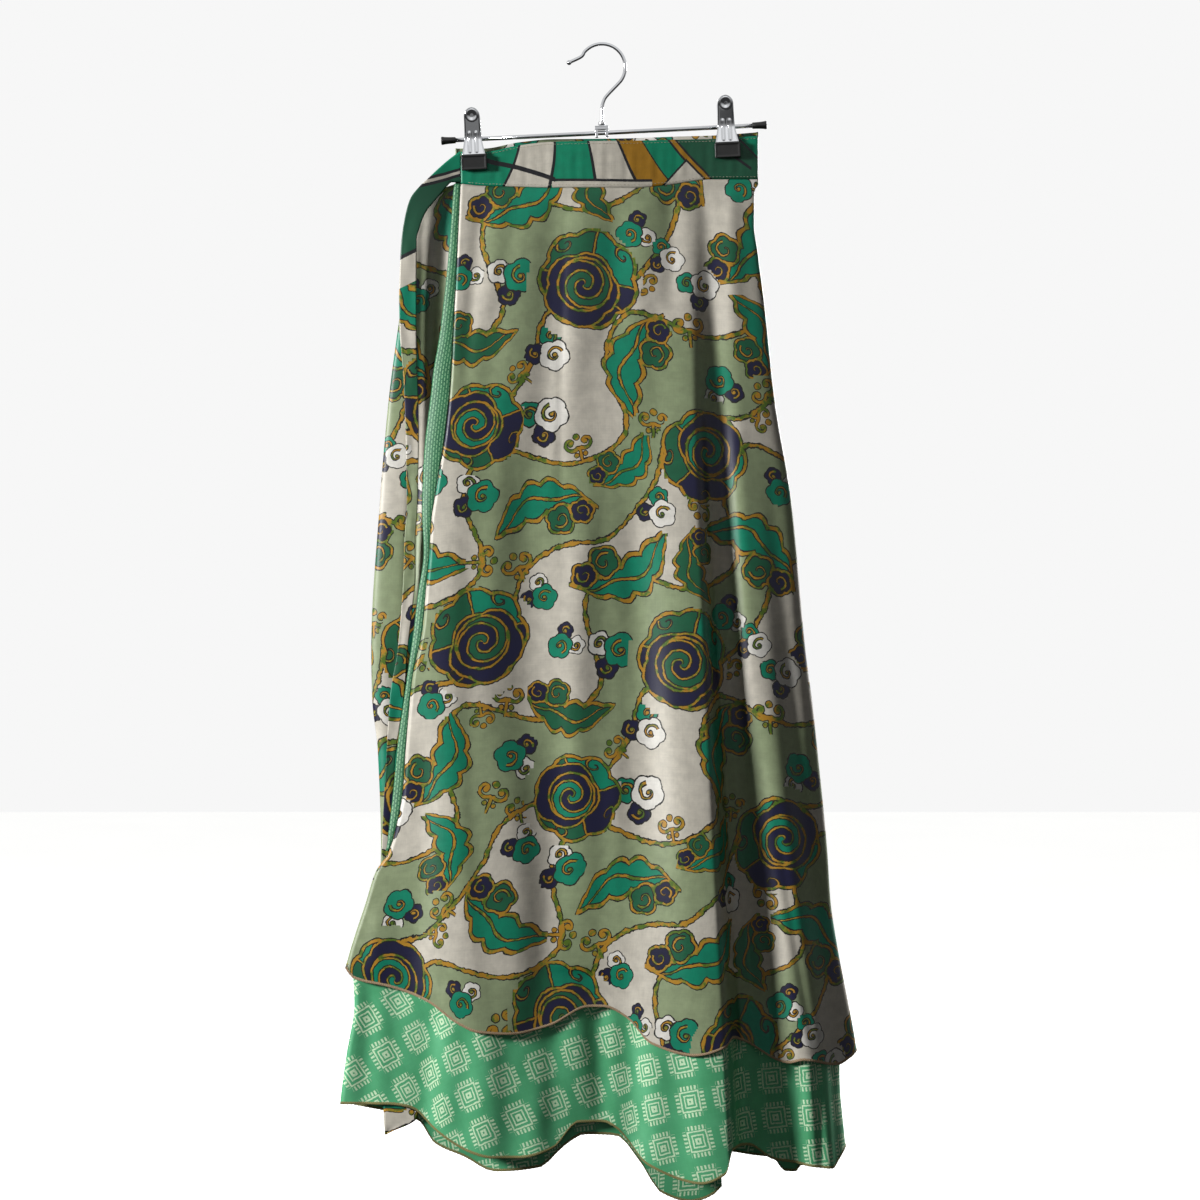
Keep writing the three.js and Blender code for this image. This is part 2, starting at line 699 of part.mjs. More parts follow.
function hook() {
  const centre = { x: HOOK.x, z: -Math.sqrt((HOOK.radius - WIRE) ** 2 - HOOK.x ** 2) };
  const points = [new THREE.Vector3(HOOK_TIP[0], 0, HOOK_TIP[1])];
  for (let k = 0; k <= HOOK_TURN.steps; k += 1) {
    const turn = THREE.MathUtils.degToRad(mix(HOOK_TURN.from, HOOK_TURN.to, k / HOOK_TURN.steps));
    const x = centre.x + HOOK.radius * Math.cos(turn);
    const z = centre.z + HOOK.radius * Math.sin(turn);
    points.push(new THREE.Vector3(x, 0, z));
  }
  for (const [x, z] of HOOK_STEM) points.push(new THREE.Vector3(x, 0, z));
  const section = new THREE.Shape();
  section.absarc(0, 0, WIRE, 0, 2 * Math.PI);
  const path = new THREE.CatmullRomCurve3(points, false, "centripetal");
  const wire = new THREE.ExtrudeGeometry(section, {
    steps: 42,
    curveSegments: 5,
    extrudePath: path,
    bevelEnabled: false,
  });
  const start = path.getTangentAt(0);
  const ball = place(ballGeometry(TIP_BALL), "hook_ball", "chrome", true);
  const reach = TIP_BALL + GAP;
  ball.position.set(points[0].x - start.x * reach, 0, points[0].z - start.z * reach);
  return [place(wire, "hook", "chrome", true), ball];
}

function ballGeometry(radius) {
  const profile = [];
  const steps = 8;
  for (let k = 0; k <= steps; k += 1) {
    const turn = (Math.PI * k) / steps - Math.PI / 2;
    const reach = k === 0 || k === steps ? 0 : radius * Math.cos(turn);
    profile.push(new THREE.Vector2(reach, radius * Math.sin(turn)));
  }
  return new THREE.LatheGeometry(profile, 14);
}

// Laid along the bar, which runs along the hanger's own X.
function alongBar(mesh, x, flip = 1) {
  mesh.rotation.set(0, (flip * Math.PI) / 2, 0);
  mesh.position.x = x;
  return mesh;
}

function bar() {
  const length = BAR.length;
  const rod = new THREE.CylinderGeometry(BAR.radius, BAR.radius, length, 14);
  rod.rotateX(Math.PI / 2);
  const meshes = [alongBar(place(rod, "bar", "chrome", true), 0)];
  const bore = BAR.radius + GAP;
  const depth = CAP.length - CAP.floor;
  const profile = [
    [bore, -depth],
    [CAP.mouth, -depth],
    [CAP.end, CAP.floor - CAP.bevel],
    [CAP.end - CAP.bevel, CAP.floor],
    [0, CAP.floor],
    [0, 0],
    [bore, 0],
  ];
  for (const [name, side] of [["cap_left", -1], ["cap_right", 1]]) {
    const cap = place(turned(profile, 16), name, "rubber");
    meshes.push(alongBar(cap, side * (length / 2 + GAP), side));
  }
  return meshes;
}

function saddle() {
  const inner = BAR.radius + GAP;
  const outer = inner + SADDLE.wall;
  const shape = new THREE.Shape();
  shape.moveTo(-outer, -SADDLE.below);
  shape.lineTo(-inner, -SADDLE.below);
  shape.lineTo(-inner, SADDLE.above - SADDLE.wall);
  shape.lineTo(inner, SADDLE.above - SADDLE.wall);
  shape.lineTo(inner, -SADDLE.below);
  shape.lineTo(outer, -SADDLE.below);
  shape.lineTo(outer, SADDLE.above);
  shape.lineTo(-outer, SADDLE.above);
  const geometry = new THREE.ExtrudeGeometry(shape, { depth: SADDLE.width, bevelEnabled: false });
  geometry.rotateX(Math.PI / 2);
  geometry.rotateZ(Math.PI / 2);
  geometry.translate(-SADDLE.width / 2, 0, 0);
  const mesh = place(geometry, "saddle", "chrome", true);
  mesh.position.x = SADDLE.x;
  return mesh;
}

function swivel() {
  const bore = WIRE + GAP;
  const profile = [[bore, 0], [SWIVEL.radius, 0], [SWIVEL.radius, SWIVEL.height], [bore, SWIVEL.height]];
  const mesh = place(turned(profile, 16), "swivel", "chrome", true);
  const [x, z] = HOOK_STEM[HOOK_STEM.length - 1];
  mesh.position.set(x, 0, z);
  return mesh;
}

function lever(name, side) {
  const rows = LEVER.map((row, i) => ({ ...row, row: i }));
  const sheet = (u, v) => {
    const at = v * (rows.length - 1);
    const width = read(rows, "row", "width", at);
    const stand = read(rows, "row", "stand", at) + LEVER_WALL / 2;
    return new THREE.Vector3(-side * (u - 0.5) * width, side * stand, read(rows, "row", "height", at));
  };
  const heights = rows.map((row, i) => i / (rows.length - 1));
  return place(wall(sheet, fractions([[1, 3]]), heights, LEVER_WALL), name, "chrome", true);
}

function jaw(name, side) {
  const near = BUNDLE + GAP;
  const geometry = new THREE.BoxGeometry(JAW.width, JAW.depth, JAW.height);
  geometry.translate(0, side * (near + JAW.depth / 2), JAW.top - JAW.height / 2);
  return place(geometry, name, "rubber");
}

function sleeve(name) {
  const bore = BAR.radius + GAP;
  const reach = SLEEVE.length / 2;
  const profile = [[bore, -reach], [SLEEVE.radius, -reach], [SLEEVE.radius, reach], [bore, reach]];
  return alongBar(place(turned(profile, 16), name, "chrome", true), 0);
}

function clip({ name, x }) {
  const group = new THREE.Group();
  group.add(sleeve(`${name}_spring`));
  for (const [end, side] of [["front", -1], ["back", 1]]) {
    group.add(lever(`${name}_lever_${end}`, side), jaw(`${name}_jaw_${end}`, side));
  }
  group.position.x = x;
  return group;
}

function hanger() {
  const rail = new THREE.Group();
  rail.add(...bar(), saddle(), ...CLIPS.map(clip));
  rail.position.set(BAR.x, 0, -BAR.drop);
  rail.rotation.y = -THREE.MathUtils.degToRad(BAR.tilt);
  const group = new THREE.Group();
  group.add(...hook(), swivel(), rail);
  return group;
}

const skirt = new THREE.Group();
skirt.add(...clothPanels(), ...waistband(), edgeFacing(), outerTie(), innerTie(), hanger());

export default skirt;
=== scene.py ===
"""Looks of a hanging wrap skirt of two cloth layers: its prints, folds, sewing and clip hanger.

Lengths in the tables are millimetres in the part's frame, with the origin inside the hanger's hook,
+Z up and the front towards -Y. A drop is the distance below the origin. Objects are made in metres.
"""

import math
import random

import bmesh
import bpy
import numpy as np
from mathutils import Matrix, Vector


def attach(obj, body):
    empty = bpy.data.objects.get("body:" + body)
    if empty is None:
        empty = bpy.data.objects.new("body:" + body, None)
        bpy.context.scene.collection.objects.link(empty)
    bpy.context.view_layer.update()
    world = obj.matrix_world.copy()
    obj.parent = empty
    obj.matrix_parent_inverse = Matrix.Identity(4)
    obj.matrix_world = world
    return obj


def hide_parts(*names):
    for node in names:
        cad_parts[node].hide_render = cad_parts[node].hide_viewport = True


bl_info = {
    "name": "Wrap skirt on a clip hanger",
    "version": (1, 0, 0),
    "blender": (4, 5, 0),
    "location": "View3D > Sidebar > Wrap skirt",
    "description": "Cloth, prints, sewing and clip hanger of a hanging wrap skirt",
    "category": "Object",
}

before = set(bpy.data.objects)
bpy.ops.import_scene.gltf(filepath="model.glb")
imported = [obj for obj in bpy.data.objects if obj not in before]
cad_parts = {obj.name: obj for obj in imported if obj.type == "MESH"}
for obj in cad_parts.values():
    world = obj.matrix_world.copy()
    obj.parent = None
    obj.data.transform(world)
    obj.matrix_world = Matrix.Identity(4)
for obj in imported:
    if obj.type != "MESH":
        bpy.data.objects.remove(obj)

MM = 0.001

# ---------------------------------------------------------------- sizes of the part

GAP = 0.3
CLOTH = 1.2
BAND = 2.8
BAND_GAP = 0.4
BUNDLE = 5.2
WAIST_BOW = 4
BOW_END = 100
SEAM_DROP = 127
BAND_FADE = 70
SKIRT_LENGTH = 873
LEVEL_DROP, LEVEL_PART = 780, 0.8
PITCH = {"seam": 1.6, "skirt": 2.6, "full": 250}
UNDER_SINK = {"seam": 3.8, "skirt": 9.8, "full": 420}
FOLD_TOP, FOLD_BOTTOM, FOLD_PAST_BOTTOM = 127, 1016, 1.05
FOLD_NARROW = 0.45
FOLD_GROWTH = 0.7
FREE_END_OPEN = 0.2
BACK_BAND_RISE = 4
UNDER_BAND_RISE = -2
UNDER_BAND_END = 98
UNDER_WRAP_HEM_RISE = 8
BACK_UNDER_RISE = {"rise": 9, "start": 104, "end": 120}
FACING_END = 0.75
HEM_ROUNDS = 5  # rounds in which a panel's rows settle on its slanting hem


def table(names, *rows):
    """Rows of numbers as columns by name."""
    return {name: np.array([row[i] for row in rows], float) for i, name in enumerate(names.split())}


SECTIONS = table(
    "drop left right front back taper",
    (83, -132, 148, BUNDLE, BUNDLE, 0.08),
    (127, -132, 148, BUNDLE, BUNDLE, 0.08),
    (133, -149, 144.5, 6.2, 5.6, 0.1),
    (142, -157, 144, 8, 6.5, 0.12),
    (165, -168, 144, 11, 8, 0.18),
    (188, -176, 147, 14, 9.5, 0.24),
    (234, -181, 153, 18, 12, 0.3),
    (326, -193, 163, 22, 14, 0.36),
    (418, -201, 178, 25, 16, 0.42),
    (556, -209, 191, 29, 19, 0.48),
    (602, -208, 197, 30, 20, 0.5),
    (648, -203, 202, 31, 21, 0.5),
    (740, -200, 211, 33, 23, 0.52),
    (786, -204, 214, 34, 24, 0.54),
    (832, -214, 221, 35, 25, 0.55),
    (878, -217, 230, 36, 26, 0.56),
    (924, -225, 238, 37, 27, 0.58),
    (1016, -234, 247, 38, 28, 0.6),
    (1060, -237, 250, 38, 28, 0.6),
)

FREE_EDGE = table(
    "drop outer under facing",
    (127, -126, -123, 6),
    (198, -129, -126, 8),
    (263, -132, -129, 12),
    (307, -134, -131, 17),
    (357, -139, -136, 18),
    (406, -147, -144, 13),
    (439, -152, -149, 8),
    (472, -154, -151, 5),
    (504, -157, -154, 7),
    (537, -160, -157, 8),
    (580, -169, -166, 5),
    (643, -175, -172, 8),
    (685, -178, -175, 9),
    (721, -185, -182, 6),
    (740, -191, -187, 3),
    (758, -203, -196, 3),
    (786, -212, -205, 3),
    (832, -227, -219, 3),
    (855, -233, -224, 3),
    (878, -236, -223, 3),
    (924, -238, -230, 3),
    (970, -240, -236, 3),
    (1060, -244, -242, 3),
)

UNDER_INSET = table(
    "drop right", (127, 0), (740, 2), (832, 4), (878, 6), (924, 13), (970, 17), (1060, 16)
)

WAIST = table(
    "x top seam",
    (-126, 98, 127),
    (-106, 98, 129),
    (-72, 92, 130),
    (-42, 89, 131),
    (34, 88, 131),
    (67, 87, 128),
    (105, 86, 123),
    (148, 83, 123),
)

OUTER_HEM = table(
    "x drop",
    (-232, 844), (-223, 855), (-188, 863), (-157, 874), (-126, 895), (-109, 902), (-79, 904),
    (-45, 897), (-8, 880), (5, 880), (28, 891), (46, 912), (82, 922), (110, 914), (119, 907),
    (132, 911), (172, 931), (184, 928), (219, 934), (231, 928), (237, 923),
)  # fmt: skip
UNDER_HEM = table(
    "x drop",
    (-234, 970), (-190, 970), (-171, 973), (-151, 991), (-118, 1011), (-96, 1016), (-74, 1016),
    (-40, 1008), (-17, 985), (5, 985), (16, 990), (42, 1022), (87, 1038), (109, 1029),
    (119, 1007), (136, 1006), (161, 1020), (213, 1027), (229, 1010),
)  # fmt: skip
LOWER_HEM = table(
    "x drop",
    (-234, 971), (-194, 977), (-164, 985), (-149, 1006), (-122, 1018), (-95, 1031), (-53, 1027),
    (-30, 1007), (-12, 997), (16, 998), (39, 1023), (57, 1050), (85, 1059), (112, 1048),
    (119, 1020), (144, 1024), (162, 1027), (174, 1039), (184, 1039), (190, 1032), (218, 1033),
    (229, 1010),
)  # fmt: skip
BACK_HEM = table(
    "x drop",
    (-216, 840), (-160, 872), (-90, 896), (-10, 884), (70, 908), (150, 900), (205, 920),
    (238, 922),
)  # fmt: skip

FOLD_NAMES = "waist middle hem left right height lean start"
FRONT_FOLDS = table(
    FOLD_NAMES,
    (-108, -128, -92, 78, 84, 13, 0, 150),
    (80, 91, 111, 92, 30, 26, 6, 150),
    (128, 152, 203, 36, 34, 14, 3, 330),
    (-40, -14, -48, 30, 34, 3, 0, 140),
    (40, 44, 48, 30, 30, 4, 0, 700),
)
BACK_FOLDS = table(
    FOLD_NAMES,
    (-100, -135, -150, 44, 52, 11, 2, 170),
    (-20, -34, -48, 42, 46, 9, -2, 260),
    (58, 62, 66, 40, 50, 12, 2, 210),
    (110, 142, 168, 40, 38, 9, 0, 320),
)
UNDER_WRAP_FOLDS = table(
    FOLD_NAMES,
    (-112, -168, -178, 26, 30, 3, 0, 160),
    (-20, -60, -70, 40, 40, 3, 0, 300),
)
UNDER_WRAP_END = table("drop x", (127, 76), (400, 88), (700, 98), (1060, 114))

TIE_PATH = table(
    "outer_x outer_drop outer_y inner_x inner_drop inner_y",
    (-126.4, 97, -3.8, -126.4, 126, -3.8),
    (-137, 105, -4.6, -134, 126, -4.6),
    (-147, 114, -6.5, -139.5, 131, -6.5),
    (-156, 123, -9, -145, 138, -8.5),
    (-165, 132, -11, -151.5, 146, -11),
    (-172, 142, -13, -158, 155, -13.5),
    (-177, 160, -15, -163, 168, -15.5),
    (-180, 182, -16, -166, 182, -17),
    (-182, 234, -17, -166, 234, -18),
    (-181, 270, -17, -166, 270, -18),
    (-178, 307, -17, -165, 307, -18),
    (-176, 357, -17, -164, 357, -18),
    (-175, 422, -18, -165, 422, -19),
    (-177, 455, -18, -167, 455, -19),
    (-178, 488, -18, -167, 488, -19),
    (-183, 554, -18, -174, 554, -19),
    (-190, 596, -18, -177, 596, -19),
    (-194, 661, -18, -186, 661, -18.5),
    (-197, 719, -18, -188, 719, -18.5),
    (-198, 758, -18.5, -184, 758, -20),
    (-197, 804, -19.3, -178, 804, -22.4),
    (-196, 859, -20, -172, 859, -24.5),
    (-195, 924, -21.5, -167, 924, -25),
    (-196, 974, -22.5, -164, 979, -25.5),
    (-194.6, 998, -22.5, -193.4, 998, -22.5),
)
INNER_TIE = table(
    "drop x y",
    (124, 89, -0.8), (200, 91, -2), (320, 97, -5), (480, 104, -6), (640, 111, -6),
    (800, 114, -8), (940, 121, -8),
)  # fmt: skip
INNER_TIE_WIDTH = 16

# ---------------------------------------------------------------- creases, finer than the part's folds

# A ridge, or a trough where its height is negative, from one point of the cloth to another:
# where it starts and ends, the width of its flanks, its height and how far it bows sideways.
CREASE_NAMES = "x0 drop0 x1 drop1 left right height bow"
CREASE_DEPTH = 1.4
CREASE_RISE, CREASE_FALL = (-0.12, 0.22), (0.72, 1.1)  # where along its length a crease swells and fades
CREASE_FREE_EDGE, CREASE_FREE_SEAM = 0.04, 0.02  # parts of a panel at its edges that stay smooth
FRONT_CREASES = table(
    CREASE_NAMES,
    (-38, 131, -58, 420, 14, 11, -1.5, 4),
    (-64, 140, -96, 560, 12, 20, 1.3, -6),
    (-12, 133, -24, 330, 9, 12, 0.9, 2),
    (-30, 150, -34, 455, 3, 3.5, -0.55, -2),
    (16, 131, 6, 300, 10, 14, -1.1, 3),
    (44, 129, 40, 420, 15, 12, 1.2, -5),
    (66, 127, 66, 250, 9, 8, -1.2, 2),
    (96, 124, 104, 300, 8, 9, -1.1, 2),
    (122, 123, 124, 280, 7, 9, 1.1, 0),
    (-88, 128, -104, 260, 8, 10, 1, 2),
    (-104, 129, -122, 330, 7, 6, -1.1, -2),
    (-70, 380, -60, 640, 16, 20, -1.7, 6),
    (-6, 400, -22, 700, 18, 14, 1.5, -7),
    (30, 430, 44, 760, 14, 18, -1.6, 5),
    (-118, 430, -96, 900, 10, 14, -1.3, -8),
    (-44, 600, -18, 890, 18, 22, -2.1, -6),
    (-84, 640, -70, 902, 15, 17, 1.7, 5),
    (8, 620, 26, 895, 12, 15, 1.4, 4),
    (-158, 640, -170, 866, 11, 13, -1.3, 3),
    (-200, 790, -205, 858, 8, 10, 1.1, 0),
    (60, 560, 74, 915, 13, 13, 1.1, 3),
    (126, 330, 148, 700, 8, 9, 1.3, -4),
    (140, 600, 162, 925, 8, 9, -1.5, 3),
    (160, 700, 196, 932, 5, 6, -1.6, -2),
    (178, 420, 196, 800, 8, 8, 0.9, 2),
    (104, 200, 146, 985, 11, 12, -4.2, -3),
    (-20, 845, 12, 880, 22, 16, -1.3, 2),
    (-140, 860, -96, 905, 26, 22, 0.9, 3),
)
LOWER_CREASES = table(
    CREASE_NAMES,
    (-214, 850, -212, 990, 12, 13, -2.6, 1),
    (-186, 850, -190, 990, 10, 13, -2.0, 2),
    (-152, 872, -160, 1010, 15, 13, -3.0, -2),
    (-122, 880, -126, 1020, 10, 12, -1.7, 1),
    (-84, 885, -80, 1040, 13, 18, -2.4, 2),
    (-42, 880, -40, 1020, 13, 13, -2.7, 1),
    (-2, 868, 4, 1000, 10, 11, -3.3, 1),
    (26, 880, 32, 1020, 9, 11, -2.3, 1),
    (62, 900, 66, 1050, 11, 13, -1.9, 0),
    (128, 895, 132, 1030, 7, 8, -2.4, 1),
    (150, 900, 156, 1040, 8, 9, -2.7, 0),
    (174, 915, 178, 1050, 8, 8, -2.6, 0),
    (198, 915, 202, 1050, 6, 7, -2.7, 0),
    (217, 915, 222, 1050, 6, 7, -2.3, 0),
)
BACK_CREASES = table(
    CREASE_NAMES,
    (-90, 129, -100, 380, 12, 10, -1.4, 4),
    (-60, 130, -74, 460, 14, 16, 1.3, -5),
    (-28, 131, -22, 300, 9, 10, -1.1, 2),
    (8, 131, 2, 410, 12, 15, 1.3, 3),
    (40, 131, 30, 300, 9, 8, -1.2, -2),
    (74, 128, 84, 360, 11, 9, 1.2, 3),
    (104, 124, 118, 420, 9, 12, -1.3, -4),
    (-118, 128, -150, 400, 8, 9, 1, 3),
    (-140, 420, -128, 760, 14, 16, -1.6, 6),
    (-80, 480, -96, 820, 16, 13, 1.6, -5),
    (-10, 440, 14, 780, 17, 15, -1.8, 6),
    (50, 420, 34, 700, 13, 16, 1.3, -5),
    (104, 460, 120, 840, 14, 13, -1.7, 5),
    (160, 430, 176, 800, 9, 11, 1.2, 3),
    (-176, 620, -186, 850, 9, 10, -1.3, 2),
    (-110, 700, -122, 884, 13, 15, 1.5, 3),
    (20, 690, 4, 888, 15, 14, 1.6, -3),
    (96, 720, 88, 905, 12, 14, -1.4, 2),
    (196, 700, 210, 918, 9, 8, -1.3, 2),
)
UNDER_WRAP_CREASES = table(
    CREASE_NAMES,
    (-142, 140, -152, 420, 7, 7, -2.6, 2),
    (-160, 150, -172, 520, 5, 6, -2.2, 2),
    (-168, 420, -180, 720, 7, 8, -2.6, 3),
    (-186, 560, -190, 800, 7, 7, -1.8, 2),
    (-120, 300, -140, 700, 14, 16, -0.9, 4),
    (-40, 260, -60, 700, 16, 18, 0.8, 4),
)

# ---------------------------------------------------------------- maths


def mix(a, b, t):
    """The value a part t of the way from a to b."""
    return a + (b - a) * t


def ease(start, end, value):
    """0 before start, 1 after end, and a smooth rise between."""
    t = np.clip((value - start) / (end - start), 0, 1)
    return t * t * (3 - 2 * t)


def read(rows, by, column, at):
    """A column at any place between the rows, as a curve that never overshoots them."""
    x, y = rows[by], rows[column]
    at = np.clip(at, x[0], x[-1])
    i = np.clip(np.searchsorted(x, at, side="right") - 1, 0, len(x) - 2)
    secant = np.diff(y) / np.diff(x)
    product, total = secant[:-1] * secant[1:], secant[:-1] + secant[1:]
    inner = np.where(product > 0, 2 * product / np.where(total == 0, 1, total), 0)
    slope = np.concatenate([secant[:1], inner, secant[-1:]])
    step = x[i + 1] - x[i]
    t = (at - x[i]) / step
    rise = (1 - t) * slope[i] - t * slope[i + 1]
    return mix(y[i], y[i + 1], t * t * (3 - 2 * t)) + t * (1 - t) * step * rise


def fractions(*stretches):
    """Fractions 0 to 1 in stretches, each with its own number of steps."""
    values = [0.0]
    for end, steps in stretches:
        start = values[-1]
        values += [mix(start, end, k / steps) for k in range(1, steps + 1)]
    return np.array(values)


def colour(code):
    """Linear colour of a hexadecimal one."""
    channels = [int(code[i : i + 2], 16) / 255 for i in (1, 3, 5)]
    return tuple(c / 12.92 if c <= 0.04045 else ((c + 0.055) / 1.055) ** 2.4 for c in channels) + (1.0,)


# ---------------------------------------------------------------- the hanging form


def fold_height(folds, x, drop):
    """Height of the rounded folds and how far they lean over."""
    t = np.clip((drop - FOLD_TOP) / (FOLD_BOTTOM - FOLD_TOP), 0, FOLD_PAST_BOTTOM)
    height, lean = np.zeros_like(x), np.zeros_like(x)
    for i in range(len(folds["waist"])):
        fold = {name: column[i] for name, column in folds.items()}
        bend = fold["middle"] - (fold["waist"] + fold["hem"]) / 2
        crest = mix(fold["waist"], fold["hem"], t) + 4 * t * (1 - t) * bend
        flank = np.where(x < crest, fold["left"], fold["right"]) * mix(FOLD_NARROW, 1, t)
        profile = (1 - np.clip((x - crest) / flank, -1, 1) ** 2) ** 2
        grown = ease(fold["start"], FOLD_BOTTOM, drop) ** FOLD_GROWTH
        height += fold["height"] * grown * profile
        lean += fold["lean"] * grown * profile
    return height, lean


def crease_height(creases, x, drop):
    """Height of the small creases, above the cloth or, where negative, into it."""
    height = np.zeros_like(x)
    for i in range(len(creases["x0"])):
        crease = {name: column[i] for name, column in creases.items()}
        t = (drop - crease["drop0"]) / (crease["drop1"] - crease["drop0"])
        fade = ease(*CREASE_RISE, t) * (1 - ease(*CREASE_FALL, t))
        centre = mix(crease["x0"], crease["x1"], t) + crease["bow"] * np.sin(math.pi * np.clip(t, 0, 1))
        flank = np.where(x < centre, crease["left"], crease["right"])
        height += crease["height"] * CREASE_DEPTH * fade * np.exp(-(((x - centre) / flank) ** 2))
    return height


def waist_bow(x, drop):
    """How far front and back stand apart between the clips."""
    across = np.cos(math.pi * np.clip(x / (2 * BOW_END), -0.5, 0.5)) ** 2
    return WAIST_BOW * across * (1 - ease(SEAM_DROP, SEAM_DROP + BAND_FADE, drop))


def ring_depth(x, drop, left, right, front_sink, back_sink, side, free_end=0.0):
    """Depth of a ring of cloth at x."""
    along = np.clip((x - (left + right) / 2) / ((right - left) / 2), -1, 1)
    opening = np.where(along < 0, free_end, 0)
    taper = read(SECTIONS, "drop", "taper", drop)
    fullness = (1 - (1 - opening) * along * along) ** (taper / 2)
    front = front_sink - read(SECTIONS, "drop", "front", drop)
    back = read(SECTIONS, "drop", "back", drop) - back_sink
    reach = np.maximum((back - front) / 2 * fullness, GAP / 2)
    return (front + back) / 2 + side * reach


def pitch(drop):
    """Distance from one layer's middle to the next."""
    return mix(PITCH["seam"], PITCH["skirt"], ease(SEAM_DROP, PITCH["full"], drop))


def under_sink(drop):
    """Depth of the under-wrap below the bundle's front face."""
    return mix(UNDER_SINK["seam"], UNDER_SINK["skirt"], ease(SEAM_DROP, UNDER_SINK["full"], drop))


def section(column):
    """A column of the rings as a function of the drop."""
    return lambda drop: read(SECTIONS, "drop", column, drop)


def free_edge(column):
    """A column of the over-wrap's free edge as a function of the drop."""
    return lambda drop: read(FREE_EDGE, "drop", column, drop)


def no_inset(drop):
    """The outer layer reaches the side fold."""
    return 0 * drop


def under_inset(drop):
    """How far the under layer stays inside the outer one."""
    return read(UNDER_INSET, "drop", "right", drop)


def as_points(x, y, drop):
    """Points of three arrays, with the drop turned into a height."""
    return np.stack([x, y, -drop], axis=-1)


def over_wrap(half, inset, edge):
    """Over-wrap: one sheet from its free edge to the right fold."""

    def point(x, drop):
        right = section("right")(drop) - half - inset(drop)
        left = np.minimum(section("left")(drop), edge(drop)) - 1
        height, lean = fold_height(FRONT_FOLDS, x, drop)
        depth = ring_depth(x, drop, left, right, half, half, -1, FREE_END_OPEN)
        return as_points(x + lean, depth - height - waist_bow(x, drop), drop)

    return point


def back(half, inset, left_sink):
    """Back of the skirt: from the right fold to the left one, where it meets the under-wrap."""

    def point(x, drop):
        right = section("right")(drop) - half - inset(drop)
        left = section("left")(drop) + half
        front_sink = np.where(x > (left + right) / 2, half, left_sink(drop))
        height, lean = fold_height(BACK_FOLDS, x, drop)
        depth = ring_depth(x, drop, left, right, front_sink, half, 1)
        return as_points(x + lean, depth + height + waist_bow(x, drop), drop)

    return point


def under_wrap(half, sink):
    """Under-wrap: from the left fold to its hidden free edge."""

    def point(x, drop):
        right = section("right")(drop) - half
        left = section("left")(drop) + half
        height, lean = fold_height(UNDER_WRAP_FOLDS, x, drop)
        depth = ring_depth(x, drop, left, right, sink(drop), half, -1)
        return as_points(x + lean, depth - height - waist_bow(x, drop), drop)

    return point


def hem(rows, rise=0):
    """A hem as a function of x."""
    return lambda x: read(rows, "x", "drop", x) - rise


def back_under_hem(x):
    """The back's under layer stays hidden behind the front's, up to the roll."""
    up = 1 - ease(BACK_UNDER_RISE["start"], BACK_UNDER_RISE["end"], x)
    return read(LOWER_HEM, "x", "drop", x) - BACK_UNDER_RISE["rise"] * up


def waist_seam(x):
    """Drop of the waist seam at x."""
    return read(WAIST, "x", "seam", x)


HALF = CLOTH / 2


def right_fold(inset):
    """Where a layer ends at the right side fold, as a function of the drop."""
    return lambda drop: section("right")(drop) - HALF - inset(drop)


def left_fold(drop):
    """Where a layer turns at the left side fold."""
    return section("left")(drop) + HALF


def under_wrap_end(drop):
    """The under-wrap's hidden free edge."""
    return read(UNDER_WRAP_END, "drop", "x", drop)


def panel(start, end, hem_line, form, *creases, under=False):
    """Where a panel starts and ends across, its hem, form and creases, and if it lies below another."""
    return {"start": start, "end": end, "hem": hem_line, "form": form, "creases": creases, "under": under}


PANELS = {
    "outer_front": panel(
        free_edge("outer"),
        right_fold(no_inset),
        hem(OUTER_HEM),
        over_wrap(HALF, no_inset, free_edge("outer")),
        FRONT_CREASES,
    ),
    "under_front": panel(
        free_edge("under"),
        right_fold(under_inset),
        hem(UNDER_HEM),
        over_wrap(HALF, under_inset, free_edge("under")),
        FRONT_CREASES,
        LOWER_CREASES,
        under=True,
    ),
    "outer_back": panel(
        right_fold(no_inset),
        left_fold,
        hem(BACK_HEM),
        back(HALF, no_inset, under_sink),
        BACK_CREASES,
    ),
    "under_back": panel(
        right_fold(under_inset),
        left_fold,
        back_under_hem,
        back(HALF, under_inset, under_sink),
        BACK_CREASES,
        under=True,
    ),
    "outer_underwrap": panel(
        left_fold,
        under_wrap_end,
        hem(OUTER_HEM, UNDER_WRAP_HEM_RISE),
        under_wrap(HALF, under_sink),
        UNDER_WRAP_CREASES,
    ),
    "under_underwrap": panel(
        left_fold,
        under_wrap_end,
        hem(LOWER_HEM),
        under_wrap(HALF, under_sink),
        UNDER_WRAP_CREASES,
        under=True,
    ),
}

